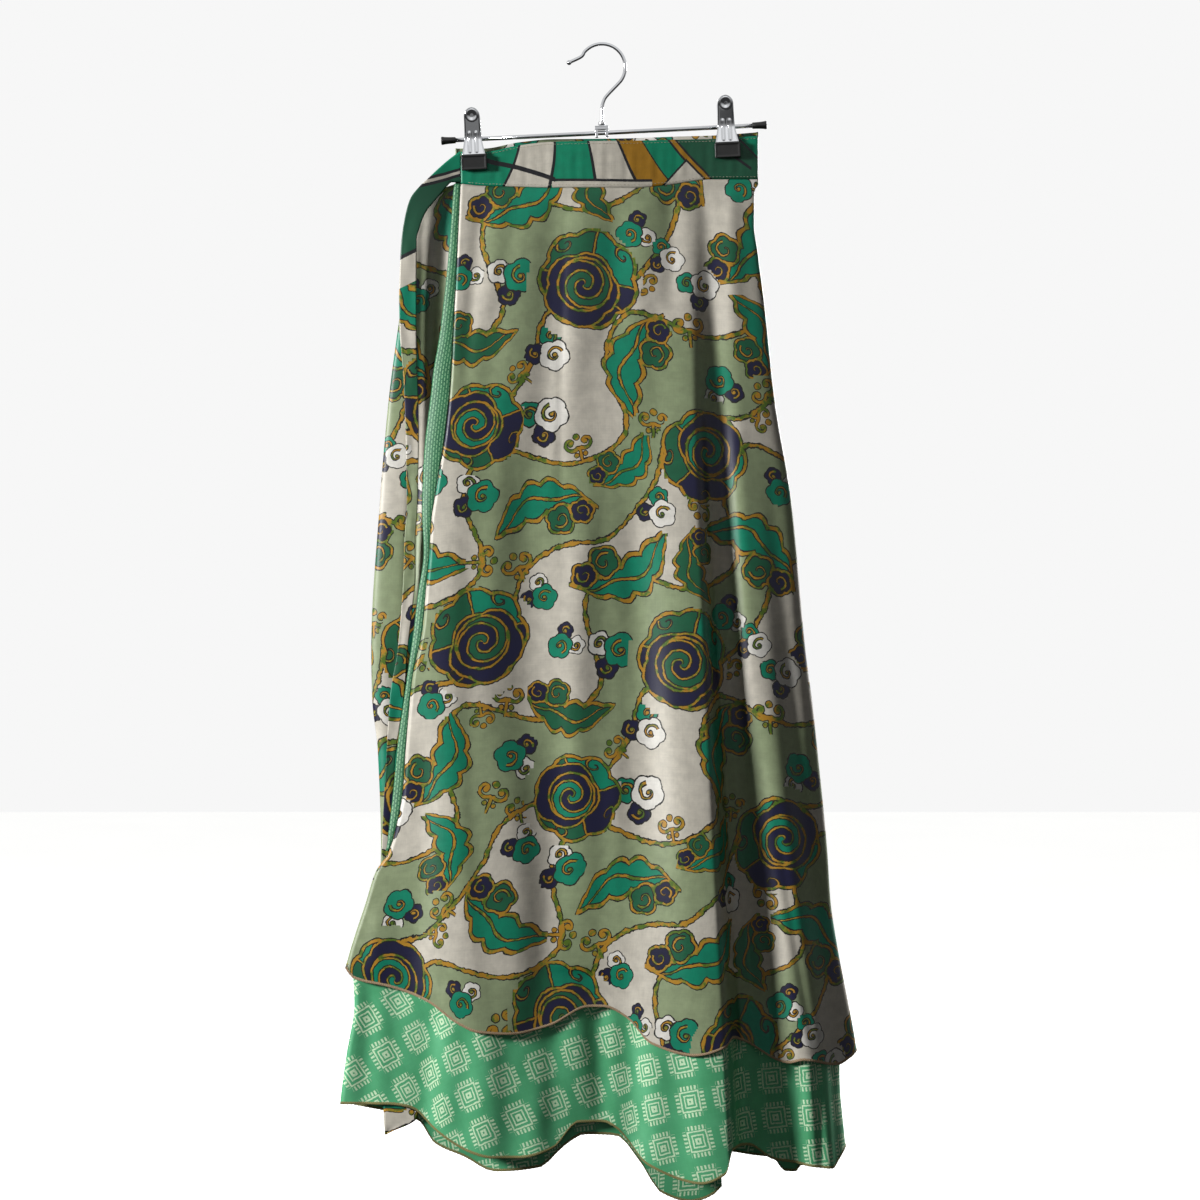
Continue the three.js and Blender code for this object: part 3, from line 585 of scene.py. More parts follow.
FRONT_COLUMNS = fractions((0.66, 66), (0.82, 50), (0.94, 20), (0.985, 10), (0.996, 4), (1, 3))
BACK_COLUMNS = fractions((0.004, 3), (0.02, 4), (0.95, 116), (0.98, 5), (0.996, 4), (1, 3))
UNDER_WRAP_COLUMNS = fractions((0.006, 3), (0.025, 4), (0.08, 10), (0.3, 24), (1, 34))
OUTER_ROWS = fractions((0.08, 24), (0.8, 200), (1, 64))
UNDER_ROWS = fractions((0.08, 16), (0.74, 100), (1, 110))
BACK_ROWS = fractions((0.08, 16), (0.8, 130), (1, 50))
SIDE_ROWS = fractions((0.08, 16), (0.8, 130), (1, 60))
GRIDS = {
    "outer_front": (FRONT_COLUMNS, OUTER_ROWS),
    "under_front": (FRONT_COLUMNS, UNDER_ROWS),
    "outer_back": (BACK_COLUMNS, BACK_ROWS),
    "under_back": (BACK_COLUMNS, UNDER_ROWS),
    "outer_underwrap": (UNDER_WRAP_COLUMNS, SIDE_ROWS),
    "under_underwrap": (UNDER_WRAP_COLUMNS, UNDER_ROWS),
}


def inward(points):
    """Unit normals of a sheet's points, into the bundle of layers."""
    across, down = np.gradient(points, axis=1), np.gradient(points, axis=0)
    normals = np.cross(across, down)
    return normals / np.linalg.norm(normals, axis=-1, keepdims=True)


def panel_points(name):
    """Points of a panel, row by row, in millimetres."""
    facts = PANELS[name]
    u, v = np.meshgrid(*GRIDS[name])
    drop = mix(SEAM_DROP, LEVEL_DROP, v)
    for _ in range(HEM_ROUNDS):
        x = mix(facts["start"](drop), facts["end"](drop), u)
        upper = mix(waist_seam(x) + GAP, LEVEL_DROP, v / LEVEL_PART)
        lower = mix(LEVEL_DROP, facts["hem"](x), (v - LEVEL_PART) / (1 - LEVEL_PART))
        drop = np.where(v < LEVEL_PART, upper, lower)
    points = facts["form"](x, drop)
    raised = sum(crease_height(rows, x, drop) for rows in facts["creases"])
    ends = np.minimum(u, 1 - u)
    raised *= ease(0, CREASE_FREE_EDGE, ends) * ease(0, CREASE_FREE_SEAM, v)
    sink = pitch(SEAM_DROP + SKIRT_LENGTH * v) if facts["under"] else 0 * v
    return points + inward(points) * (sink - raised)[..., None]


def flat_cloth(points, origin=0.35, flare=None):
    """Each point's place on the flat cloth, which is a sector of a ring where the cloth flares."""
    steps = np.linalg.norm(np.diff(points, axis=1), axis=-1)
    across = np.concatenate([np.zeros((len(points), 1)), np.cumsum(steps, axis=1)], axis=1)
    across -= across[:, int(origin * (points.shape[1] - 1))][:, None]
    height = points[..., 2]
    if flare is None:
        return np.stack([across, height], axis=-1)
    radius = flare - height
    turn = across / radius
    return np.stack([radius * np.sin(turn), flare - radius * np.cos(turn)], axis=-1)


# ---------------------------------------------------------------- mesh


def mesh_of(bm, name):
    """The mesh of what was built, whose builder is freed."""
    mesh = bpy.data.meshes.new(name)
    bm.to_mesh(mesh)
    bm.free()
    return mesh


def vertex_places(mesh):
    """Places of the vertices, one row each."""
    places = np.empty(len(mesh.vertices) * 3, np.float32)
    mesh.vertices.foreach_get("co", places)
    return places.reshape(-1, 3)


def corner_vertices(mesh):
    """Number of the vertex at each corner of the faces."""
    corners = np.empty(len(mesh.loops), np.int32)
    mesh.loops.foreach_get("vertex_index", corners)
    return corners


def lay_flat(mesh, flat):
    """Store each vertex's place on the flat cloth, in metres."""
    uv = mesh.uv_layers.new(name="cloth")
    uv.data.foreach_set("uv", flat[corner_vertices(mesh)].astype(np.float32).ravel())


def shade_smooth(mesh):
    """Smooth shading over all faces."""
    mesh.polygons.foreach_set("use_smooth", np.ones(len(mesh.polygons), bool))
    mesh.update()


def grid_mesh(name, points, flat=None):
    """A sheet of quads on rows of points in millimetres, and the row and column of each vertex."""
    rows, columns = points.shape[:2]
    bm = bmesh.new()
    bmesh.ops.create_grid(bm, x_segments=columns - 1, y_segments=rows - 1, size=0.5)
    mesh = mesh_of(bm, name)
    places = vertex_places(mesh)
    column = np.rint((places[:, 0] + 0.5) * (columns - 1)).astype(int)
    row = np.rint((0.5 - places[:, 1]) * (rows - 1)).astype(int)
    mesh.vertices.foreach_set("co", (points[row, column] * MM).astype(np.float32).ravel())
    if flat is not None:
        lay_flat(mesh, flat[row, column] * MM)
    shade_smooth(mesh)
    return mesh, row, column


def round_edges(bm, edges, width, segments):
    """Edges rounded over a width in millimetres."""
    bmesh.ops.bevel(
        bm, geom=edges, offset=width * MM, segments=segments, affect="EDGES", profile=0.5, material=-1
    )


def new_object(name, mesh, finish):
    """An object of a mesh, in the scene and on the body."""
    piece = bpy.data.objects.new(name, mesh)
    bpy.context.scene.collection.objects.link(piece)
    mesh.materials.append(material(finish))
    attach(piece, "root")
    return piece


def in_place_of(piece, node):
    """Hide the solid that a piece stands in for, and give the piece back."""
    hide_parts(node)
    return piece


def give_wall(piece, thickness):
    """A thin closed wall on both sides of the sheet."""
    wall = piece.modifiers.new("wall", "SOLIDIFY")
    wall.thickness = thickness * MM
    wall.offset = 0


# ---------------------------------------------------------------- layout of the rose print

REPEAT = np.array([[-62.0, 352.0], [384.0, 96.0]])  # the two steps of its repeat
KINDS = {"rose": 0, "leaf": 1, "puffs": 2, "curls": 3}
NO_MOTIF = 9.5
REACH = {"rose": 52, "leaf": 54, "puffs": 27, "curls": 25}  # round each motif's middle
# Motifs listed one by one: kind, place as parts of the two steps, turn in degrees, size and tone.
PLACED = (
    ("rose", 0.10, 0.16, 20, 1.02, 0.1),
    ("rose", 0.60, 0.34, 200, 0.94, 0.6),
    ("rose", 0.33, 0.72, 95, 1.0, 0.3),
    ("rose", 0.87, 0.83, 310, 0.88, 0.8),
    ("leaf", 0.37, 0.08, 25, 1.02, 0.1),
    ("leaf", 0.87, 0.22, 250, 1.0, 0.5),
    ("leaf", 0.34, 0.41, 150, 1.04, 0.3),
    ("leaf", 0.62, 0.63, 320, 1.0, 0.1),
    ("leaf", 0.08, 0.56, 60, 0.98, 0.5),
    ("leaf", 0.60, 0.93, 190, 0.96, 0.3),
    ("leaf", 0.86, 0.53, 105, 0.86, 0.2),
    ("leaf", 0.08, 0.87, 345, 0.84, 0.7),
    ("leaf", 0.33, 0.24, 280, 0.72, 0.8),
    ("leaf", 0.63, 0.14, 40, 0.74, 0.2),
)
# Motifs strewn between them: kind, how many at most, and the range of their size.
SCATTER = (("puffs", 15, 0.8, 1.2), ("curls", 120, 0.62, 1.3))
TRIES = 4000  # for each kind, before the rest are given up
CROWDING = 0.76  # how close two motifs may come, as a part of both reaches
VINE_NEAR, VINE_CLEAR = 45, 7  # curls stay near a vine, and puffs stay clear of it
# The ground's waves: steps round the repeat in its two directions, shift and weight.
WAVES = (
    (1, 2, 0.4, 1.0),
    (2, -1, 1.9, 1.0),
    (3, 1, 4.1, 0.75),
    (1, -3, 2.2, 0.7),
)
FLATTEST = 0.012  # slope added where the ground is level, so that vines keep a width
CELL_REACH = 0.75  # how far past a repeat's middle a motif can touch it, as a part of its steps
UNTAKEN = 9.0


def ground_field(places):
    """Signed distance in millimetres to the vines that part the two ground colours."""
    inverse = np.linalg.inv(REPEAT)
    parts = places @ inverse
    value = np.zeros(parts.shape[:-1])
    slope = np.zeros(parts.shape)
    for step_a, step_b, shift, weight in WAVES:
        wave = 2 * math.pi * (step_a * parts[..., 0] + step_b * parts[..., 1]) + shift
        value += weight * np.cos(wave)
        turn = 2 * math.pi * (step_a * inverse[:, 0] + step_b * inverse[:, 1])
        slope -= weight * np.sin(wave)[..., None] * turn
    steepness = np.sqrt((slope**2).sum(-1) + FLATTEST**2)
    return value / steepness, slope


def print_layout():
    """Every motif of one repeat: kind, middle, turn in radians, size and tone."""
    rows = [
        (name, a * REPEAT[0] + b * REPEAT[1], math.radians(turn), size, tone)
        for name, a, b, turn, size, tone in PLACED
    ]
    chance = random.Random(7)
    shifts = np.array([i * REPEAT[0] + j * REPEAT[1] for i in (-1, 0, 1) for j in (-1, 0, 1)])
    for name, wanted, least, most in SCATTER:
        made = 0
        for _ in range(TRIES):
            if made == wanted:
                break
            middle = np.array([chance.random(), chance.random()]) @ REPEAT
            size = chance.uniform(least, most)
            taken = np.array([row[1] for row in rows])
            reach = np.array([REACH[row[0]] * row[3] for row in rows]) + REACH[name] * size
            away = middle - taken[:, None] - shifts
            field, slope = ground_field(middle)
            if (np.hypot(away[..., 0], away[..., 1]) < CROWDING * reach[:, None]).any():
                continue
            if abs(field) > VINE_NEAR if name == "curls" else abs(field) < VINE_CLEAR:
                continue
            out = math.atan2(slope[1], slope[0]) + (0 if field > 0 else math.pi)
            turn = out - math.pi / 2 + chance.uniform(-0.5, 0.5)
            rows.append((name, middle, turn, size, chance.random()))
            made += 1
    return rows


def turned(flat, degrees):
    """Places on the cloth turned anticlockwise."""
    turn = math.radians(degrees)
    return flat @ np.array([[math.cos(turn), math.sin(turn)], [-math.sin(turn), math.cos(turn)]])


def lay_print(mesh, row, column, flat, turn, shift):
    """Store on each face's corners where they lie on the nearest motif, and the ground's field."""
    places = turned(flat, turn) + np.array(shift)
    field, _ = ground_field(places)
    ground = mesh.attributes.new("ground", "FLOAT", "POINT")
    ground.data.foreach_set("value", field[row, column].astype(np.float32))
    at_corner = places[row, column][corner_vertices(mesh)].reshape(-1, 4, 2)
    middles = at_corner.mean(1)
    cell = np.floor(middles @ np.linalg.inv(REPEAT))
    origin = cell @ REPEAT
    inside = middles - origin
    closest = np.full(len(middles), UNTAKEN)
    centre = np.zeros_like(middles)
    facts = np.zeros((len(middles), 3))
    code = np.full(len(middles), NO_MOTIF)
    for name, middle, angle, size, tone in print_layout():
        for i in (-1, 0, 1):
            for j in (-1, 0, 1):
                spot = middle + i * REPEAT[0] + j * REPEAT[1]
                if np.abs(spot @ np.linalg.inv(REPEAT) - 0.5).max() > CELL_REACH:
                    continue
                reach = np.hypot(*(inside - spot).T) / (REACH[name] * size)
                rank = reach + (name != "rose")  # roses lie over all the others
                better = (reach < 1) & (rank < closest)
                closest = np.where(better, rank, closest)
                centre[better] = spot
                facts[better] = (math.cos(angle), math.sin(angle), size)
                code[better] = KINDS[name] + 0.05 + 0.9 * tone
    offset = at_corner - (origin + centre)[:, None, :]
    cosine, sine, size = (facts[:, k, None] for k in range(3))
    size = np.where(size == 0, 1, size)
    local_x = (offset[..., 0] * cosine + offset[..., 1] * sine) / size
    local_y = (-offset[..., 0] * sine + offset[..., 1] * cosine) / size
    motif = np.stack([local_x, local_y, np.broadcast_to(code[:, None], local_x.shape)], axis=-1)
    store = mesh.attributes.new("motif", "FLOAT_VECTOR", "CORNER")
    store.data.foreach_set("vector", motif.astype(np.float32).ravel())


# ---------------------------------------------------------------- shader maths


class Value:
    """A shader socket that sums can be written with."""

    def __init__(self, shader, socket):
        self.shader = shader
        self.socket = socket

    def maths(self, operation, *others, clamp=False):
        """A Math node on this socket and others."""
        settings = {"operation": operation, "use_clamp": clamp}
        return self.shader.node("Math", settings, dict(enumerate((self, *others))))

    def __add__(self, other):
        return self.maths("ADD", other)

    def __mul__(self, other):
        return self.maths("MULTIPLY", other)

    def __sub__(self, other):
        return self.maths("SUBTRACT", other)

    def __rsub__(self, other):
        return self.shader.node("Math", {"operation": "SUBTRACT"}, {0: other, 1: self})

    def __lt__(self, other):
        return self.maths("LESS_THAN", other)

    def __gt__(self, other):
        return self.maths("GREATER_THAN", other)

    def __abs__(self):
        return self.maths("ABSOLUTE")

    def least(self, other):
        """The smaller of two."""
        return self.maths("MINIMUM", other)

    def most(self, other):
        """The larger of two."""
        return self.maths("MAXIMUM", other)

    def between(self, low, high, at_low=0.0, at_high=1.0):
        """Mapped from one range to another, and kept inside it."""
        return self.shader.node("MapRange", {}, {0: self, 1: low, 2: high, 3: at_low, 4: at_high})

    def to_nearest(self):
        """Distance to the nearest whole number."""
        return self.maths("PINGPONG", 0.5)


class Shader:
    """A material and the nodes that are added to it."""

    def __init__(self, name):
        self.material = bpy.data.materials.new(name)
        self.material.use_nodes = True
        self.tree = self.material.node_tree
        self.tree.nodes.clear()

    def node(self, kind, settings=None, values=None, out=0):
        """A node of a type, with its settings first, then its sockets' values or links."""
        made = self.tree.nodes.new("ShaderNode" + kind)
        for name, setting in (settings or {}).items():
            if name == "stops":
                self.set_stops(made.color_ramp, setting)
            elif name == "interpolation" and hasattr(made, "color_ramp"):
                made.color_ramp.interpolation = setting
            else:
                setattr(made, name, setting)
        for key, value in (values or {}).items():
            socket = made.inputs[key]
            if isinstance(value, Value):
                self.tree.links.new(value.socket, socket)
            else:
                socket.default_value = value
        return Value(self, made.outputs[out]) if made.outputs else None

    @staticmethod
    def set_stops(ramp, stops):
        """Fill a ramp with its stops, in order."""
        while len(ramp.elements) > 1:
            ramp.elements.remove(ramp.elements[-1])
        ramp.elements[0].position = stops[0][0]
        ramp.elements[0].color = stops[0][1]
        for position, shade in stops[1:]:
            ramp.elements.new(position).color = shade

    def attribute(self, name, out="Fac"):
        """An attribute that the mesh carries."""
        return self.node("Attribute", {"attribute_name": name}, out=out)

    def parts(self, vector):
        """The three numbers of a vector."""
        made = self.node("SeparateXYZ", {}, {0: vector})
        return tuple(Value(self, made.socket.node.outputs[i]) for i in range(3))

    def scaled(self, vector, by):
        """A vector or a colour times a number."""
        return self.node("VectorMath", {"operation": "SCALE"}, {0: vector, "Scale": by})

    def flat_place(self):
        """Place on the flat cloth, in millimetres."""
        return self.scaled(self.node("UVMap", {"uv_map": "cloth"}), 1 / MM)

    def noise(self, vector, size, detail=2.0, rough=0.5, stretch=(1, 1, 1), out="Fac"):
        """Noise with blotches of a size in the vector's own unit."""
        scale = tuple(s / size for s in stretch)
        placed = self.node("VectorMath", {"operation": "MULTIPLY"}, {0: vector, 1: scale})
        values = {"Vector": placed, "Scale": 1.0, "Detail": detail, "Roughness": rough}
        return self.node("TexNoise", {"noise_dimensions": "2D"}, values, out)

    def blend(self, factor, a, b, way="MIX"):
        """One colour mixed over another."""
        settings = {"data_type": "RGBA", "blend_type": way}
        return self.node("Mix", settings, {0: factor, 6: a, 7: b}, out=2)

    def ramp(self, value, stops, interpolation="LINEAR"):
        """A colour ramp."""
        return self.node("ValToRGB", {"stops": stops, "interpolation": interpolation}, {0: value})

    def surface(self, bump=None, **sockets):
        """The finished surface, with a bump as height, strength and distance in metres."""
        values = {name.replace("_", " "): value for name, value in sockets.items()}
        if bump is not None:
            height, strength, distance = bump
            values["Normal"] = self.node(
                "Bump", {}, {"Height": height, "Strength": strength, "Distance": distance}
            )
        made = self.node("BsdfPrincipled", {}, values)
        self.node("OutputMaterial", {}, {0: made})
        return self.material


# ---------------------------------------------------------------- the rose print's motifs

FAR = 99.0
CREAM, SAGE, EMERALD, DEEP, NAVY, WHITE = range(6)  # numbers of the inks; cream and sage are the ground
INKS = ("#cdc7b9", "#8f9c78", "#008062", "#12583a", "#0a0a30", "#e3e0d8")
GOLDS = ((0.38, "#4f6a1a"), (0.46, "#86802a"), (0.53, "#b28326"))  # from olive to gold
OUTLINE = "#15120c"
# Lobes at a leaf's foot and the puffs of a cluster: place, radius, where the curl starts, and ink.
LOBES = ((-14, 17, 15, 0.1, DEEP), (-35, 15, 12, 0.35, NAVY))
PUFFS = ((-10, -8, 10.5, 0.2, WHITE), (11, -7, 9.5, 0.7, NAVY), (0, 7, 14.5, 0.45, EMERALD))


def pick(mask, one, other):
    """One value where the mask is 1, and the other where it is 0."""
    return mask * (one - other) + other


def polar(x, y):
    """Distance from the middle, and the turn round it in whole turns."""
    return (x * x + y * y).maths("SQRT"), y.maths("ARCTAN2", x) * (0.5 / math.pi)


def scallops(turn, count, depth):
    """How far an edge of so many rounded lobes draws in."""
    return (1 - abs((turn * (math.pi * count)).maths("SINE"))) * depth


def curl_line(radius, turn, start, wide, narrow):
    """Distance to one winding that narrows from its outer end."""
    wound = (turn - start).maths("FRACT")
    return abs(radius + wound * (wide - narrow) - wide) + wound * 0.8


def rose(x, y, tone):
    """A spiral rose in two rounds of petals: its strokes, its ink and where it covers the ground."""
    step = 18.0
    radius, turn = polar(x, y)
    phase = radius * (2 / step) - turn * 2
    core = radius - 24.0
    line = (phase.to_nearest() * (step / 2) - 1.35).most(core)
    arm = (phase * 0.5).maths("FRACT") < 0.5
    wide, wide_turn = polar(x + 4.5, y + 3.0)
    ring = wide - 34.0 + scallops(wide_turn, 5, 3.5)
    broad, broad_turn = polar(x - 6.0, y - 3.0)
    petals = broad - 45.0 + scallops(broad_turn + 0.07, 7, 5.0)
    quarter = broad_turn * 4 + tone * 3
    split = quarter.to_nearest() * broad * (math.pi / 2) - 1.3
    inner, inner_turn = polar(broad - 37.0, (quarter.maths("FRACT") - 0.5) * 40.0)
    curl = curl_line(inner, inner_turn, 0.1, 6.5, 0.5) - 1.1
    beyond = split.least(curl).most(petals).most(0 - ring)
    strokes = (abs(core) - 1.5).least(abs(ring) - 1.5).least(line).least(beyond)
    strokes = strokes.least((abs(petals) - 1.9).most(0 - ring))
    ink = quarter.maths("FLOOR").maths("FLOORED_MODULO", 3.0) + EMERALD
    ink = pick(ring < 0, NAVY, ink)
    ink = pick(core < 0, pick(arm, pick(tone < 0.45, DEEP, EMERALD), NAVY), ink)
    return strokes, ink, (ring < 0).most(petals < 0)


def leaf(x, y, tone):
    """A bent leaf with a scrolling vein, and two lobes that curl over its foot."""
    bent = y - x * x * 0.009 + 8.0
    part = x * (1 / 50.0)
    lobed = abs((x * (math.pi / 21.0) + 0.4).maths("SINE")) * 6.0 - 3.0
    width = (1 - part * part) * (part * 3.0 + 16.0 + lobed)
    blade = ((abs(bent) - width) * 0.86).most(abs(x) - 49.5)
    wave = (x * 0.12).maths("SINE") * 4.0
    inner = abs(bent + wave) - 1.9 + abs(part) * 1.2
    strokes = (abs(blade) - 2.1).least(inner.most(blade + 2.0))
    cover = blade
    ink = pick(tone > 0.65, DEEP, EMERALD)
    for across, along, size, start, shade in LOBES:
        radius, turn = polar(x - across, y - along)
        lobe = radius - size + scallops(turn, 5, size * 0.16)
        curl = curl_line(radius, turn, start, size * 0.56, 1.5) - 1.4
        strokes = pick(lobe < 0, (abs(lobe) - 1.9).least(curl), strokes.least(abs(lobe) - 1.2))
        ink = pick(lobe < 0, shade, ink)
        cover = cover.least(lobe)
    return strokes, ink, cover < 0


def puffs(x, y, tone):
    """A large scalloped puff over two smaller ones, each with a curl inside."""
    edges, strokes, ink, cover = None, None, None, None
    for across, along, size, start, shade in PUFFS:
        radius, turn = polar(x - across, y - along)
        edge = radius - size + scallops(turn + tone, 5, size * 0.15)
        curl = (curl_line(radius, turn, start, size * 0.55, 1.0) - 1.35).least(radius - 2.0)
        if shade != NAVY:
            shade = pick(tone > 0.55, WHITE + EMERALD - shade, shade)
        if cover is None:
            strokes, ink, edges, cover = curl, shade, abs(edge), edge
            continue
        strokes = pick(edge < 0, curl, strokes.most(0.6 - edge))
        ink = pick(edge < 0, shade, ink)
        edges = pick(edge < 0, abs(edge), edges.least(abs(edge)))
        cover = cover.least(edge)
    return strokes, ink, cover < 0, edges


def curls(x, y, tone):
    """A stem that parts into two curls with a bud between them."""
    side = abs(x)
    radius, turn = polar(side - 9.5, y - 3.0)
    curl = (curl_line(radius, turn, -0.4, 10.5, 1.6) - 2.5).least(radius - 3.8)
    stem = (side - 2.4 - y * 0.03).most(y + 2.0).most(-26.0 - y)
    bud, _ = polar(side, y - 10.5)
    small, _ = polar(side - 5.6, y + 13.0)
    return curl.least(stem).least(bud - 4.4).least(small - 2.8 - tone)


def rose_print(shader):
    """Colour of the outer layer's print."""
    place = shader.flat_place()
    x, y, code = shader.parts(shader.attribute("motif", "Vector"))
    rough_x, rough_y, _ = shader.parts(shader.noise(place, 8.0, 3.0, 0.55, out="Color"))
    x, y = x + (rough_x - 0.5) * 2.8, y + (rough_y - 0.5) * 2.8
    tone = code.maths("FRACT")
    field = shader.attribute("ground") + (rough_x - 0.5) * 4.0
    is_rose, is_leaf = code < 1.0, (code > 1.0) * (code < 2.0)
    is_puffs, is_curls = (code > 2.0) * (code < 3.0), (code > 3.0) * (code < 4.0)
    rose_strokes, rose_ink, rose_cover = rose(x, y, tone)
    leaf_strokes, leaf_ink, leaf_cover = leaf(x, y, tone)
    puff_curl, puff_ink, puff_cover, puff_edge = puffs(x, y, tone)
    curl_strokes = curls(x, y, tone)
    cover = is_rose * rose_cover + is_leaf * leaf_cover + is_puffs * puff_cover
    ink = pick(cover, is_rose * rose_ink + is_leaf * leaf_ink + is_puffs * puff_ink, field < 0)
    vine = abs(field) - 2.1 - (rough_y - 0.5) * 3.2
    motif = (
        is_rose * (rose_strokes - FAR)
        + is_leaf * (leaf_strokes - FAR)
        + is_puffs * (puff_curl - FAR)
        + is_curls * (curl_strokes - FAR)
        + FAR
    )
    strokes = motif.least(vine + cover * FAR)
    outline = (abs(strokes) - 0.55).least(pick(is_puffs, puff_edge - 0.6, FAR))
    blotch = shader.noise(place, 11.0, 3.0, 0.6)
    stops = [((i - 0.5) / 8 if i else 0.0, colour(code)) for i, code in enumerate(INKS)]
    fill = shader.ramp(ink * (1 / 8), stops, "CONSTANT")
    light = blotch.between(0.3, 0.7, 0.9, 1.08)
    fill = shader.scaled(fill, light)
    gold = shader.ramp(blotch, [(at, colour(code)) for at, code in GOLDS])
    shown = shader.blend(strokes < 0, fill, gold)
    return shader.blend(outline < 0, shown, colour(OUTLINE))


def weave(shader, place):
    """Height and unevenness of a fine silk weave with slubs along both threads."""
    warp = shader.noise(place, 0.8, 2.0, 0.6, stretch=(1.0, 0.04, 1))
    weft = shader.noise(place, 0.9, 2.0, 0.6, stretch=(0.03, 1.0, 1))
    return warp * 0.5 + weft * 0.5


# ---------------------------------------------------------------- materials


def silk(shader, shown, place, roughness=0.42):
    """Soft satin silk in a printed colour."""
    threads = weave(shader, place)
    light = threads.between(0.35, 0.65, 0.95, 1.04)
    shown = shader.scaled(shown, light)
    return shader.surface(
        Base_Color=shown,
        Roughness=threads.between(0.3, 0.7, roughness - 0.05, roughness + 0.08),
        Specular_IOR_Level=0.35,
        Sheen_Weight=0.04,
        Sheen_Roughness=0.4,
        bump=(threads, 0.22, 0.00025),
    )


def rose_silk():
    """The outer layer's cloth."""
    shader = Shader("rose_silk")
    return silk(shader, rose_print(shader), shader.flat_place())


def green_silk():
    """The under layer's cloth: pale square rosettes on green."""
    shader = Shader("green_silk")
    place = shader.flat_place()
    repeat = 30.0
    x, y, _ = shader.parts(place)
    wobble_x, wobble_y, _ = shader.parts(shader.noise(place, 5.0, 2.0, 0.6, out="Color"))
    x, y = (x + (wobble_x - 0.5) * 1.3) * 0.83, (y + (wobble_y - 0.5) * 1.3) * 0.83
    cell_x = x.maths("WRAP", repeat / 2, -repeat / 2)
    cell_y = y.maths("WRAP", repeat / 2, -repeat / 2)
    side, other = abs(cell_x), abs(cell_y)
    ring = side.most(other)
    along = pick(side > other, cell_y, cell_x)
    squares = (abs(ring - 7.4) - 0.62).least(abs(ring - 4.4) - 0.55).least(abs(ring - 1.6) - 0.85)
    tooth = (along * (1 / 2.9)).to_nearest() * 2.9 - 0.72
    comb = tooth.most(abs(ring - 10.2) - 1.6).most(side.least(other) - 8.2)
    print_mask = squares.least(comb) < 0
    worn = shader.noise(place, 1.6, 2.0, 0.7).between(0.3, 0.46, 0.55, 1.0)
    blotch = shader.noise(place, 30.0, 3.0, 0.6)
    ground = shader.blend(blotch, colour("#449c68"), colour("#5fb986"))
    shown = shader.blend(print_mask * worn, ground, colour("#cfeac4"))
    return silk(shader, shown, place)


BAND_BLOCKS = table(
    "start ink",
    (0, 0), (54, 1), (87, 0), (117, 1), (144, 2), (166.5, 0), (191, 2), (198, 3), (254, 0),
)  # fmt: skip
BAND_REPEAT = 290.0
BAND_LINE = 2.2
BAND_INKS = ("#00815f", "#cbc5b7", "#a3751c", "#124c34")
BAND_DARK = "#07080f"
# The tie's blocks: how far down each starts in metres, and its ink; the rose print follows them.
TIE_BLOCKS = (
    (0.0, BAND_INKS[0]),
    (0.021, BAND_DARK),
    (0.024, BAND_INKS[1]),
    (0.031, BAND_DARK),
    (0.0325, BAND_INKS[3]),
    (0.097, BAND_DARK),
    (0.0985, BAND_INKS[1]),
)
TIE_PRINT_START = 0.128


def line_through(x, y, start, end, width):
    """Distance to a straight line between two places, limited to the stretch between them."""
    slope = (end[1] - start[1]) / (end[0] - start[0])
    line = abs(y - start[1] - (x - start[0]) * slope) - width / 2 * math.hypot(1, slope)
    return line.most(start[0] - x).most(x - end[0])


def band_silk():
    """The waistband's cloth: fanned blocks of colour between dark lines."""
    shader = Shader("band_silk")
    place = shader.flat_place()
    x, y, _ = shader.parts(place)
    lean = (x * 0.0072 - 0.71).least(0.9)
    across = (x + y * lean + (y * 0.11).maths("SINE") * 0.5) * (1 / BAND_REPEAT)
    across = across.maths("FRACT")
    inks = [colour(code) for code in BAND_INKS]
    dark = colour(BAND_DARK)
    stops = []
    for start, ink in zip(BAND_BLOCKS["start"], BAND_BLOCKS["ink"]):
        if start:
            stops.append(((start - BAND_LINE / 2) / BAND_REPEAT, dark))
        stops.append(((start + BAND_LINE / 2 if start else 0) / BAND_REPEAT, inks[int(ink)]))
    shown = shader.ramp(across, stops, "CONSTANT")
    wedge = y + 19.0 + abs(x - 208.0) * 1.05
    low = (y + 36.5).most(84.0 - x).most(x - 176.0)
    shown = shader.blend(wedge.least(low) < 0, shown, inks[1])
    thick = line_through(x, y, (12, -3), (87, -35), 4.0)
    curved = line_through(x, y, (84, -35), (176, -37), 2.4)
    far = line_through(x, y, (240, -8), (268, -30), 2.4)
    strokes = thick.least(curved).least(far).least((abs(wedge) - 1.3).most(y + 17.0))
    shown = shader.blend(strokes < 0, shown, dark)
    blotch = shader.noise(place, 9.0, 3.0, 0.6).between(0.3, 0.7, 0.9, 1.06)
    shown = shader.scaled(shown, blotch)
    return silk(shader, shown, place, 0.46)


def tie_silk():
    """The tie's cloth: blocks like the band's at its top, then the rose print."""
    shader = Shader("tie_silk")
    x, y, _ = shader.parts(shader.flat_place())
    down = (0 - y + x * 0.5) * MM
    blocks = shader.ramp(down, [(at, colour(code)) for at, code in TIE_BLOCKS], "CONSTANT")
    shown = shader.blend(down > TIE_PRINT_START, blocks, rose_print(shader))
    return silk(shader, shown, shader.flat_place(), 0.44)


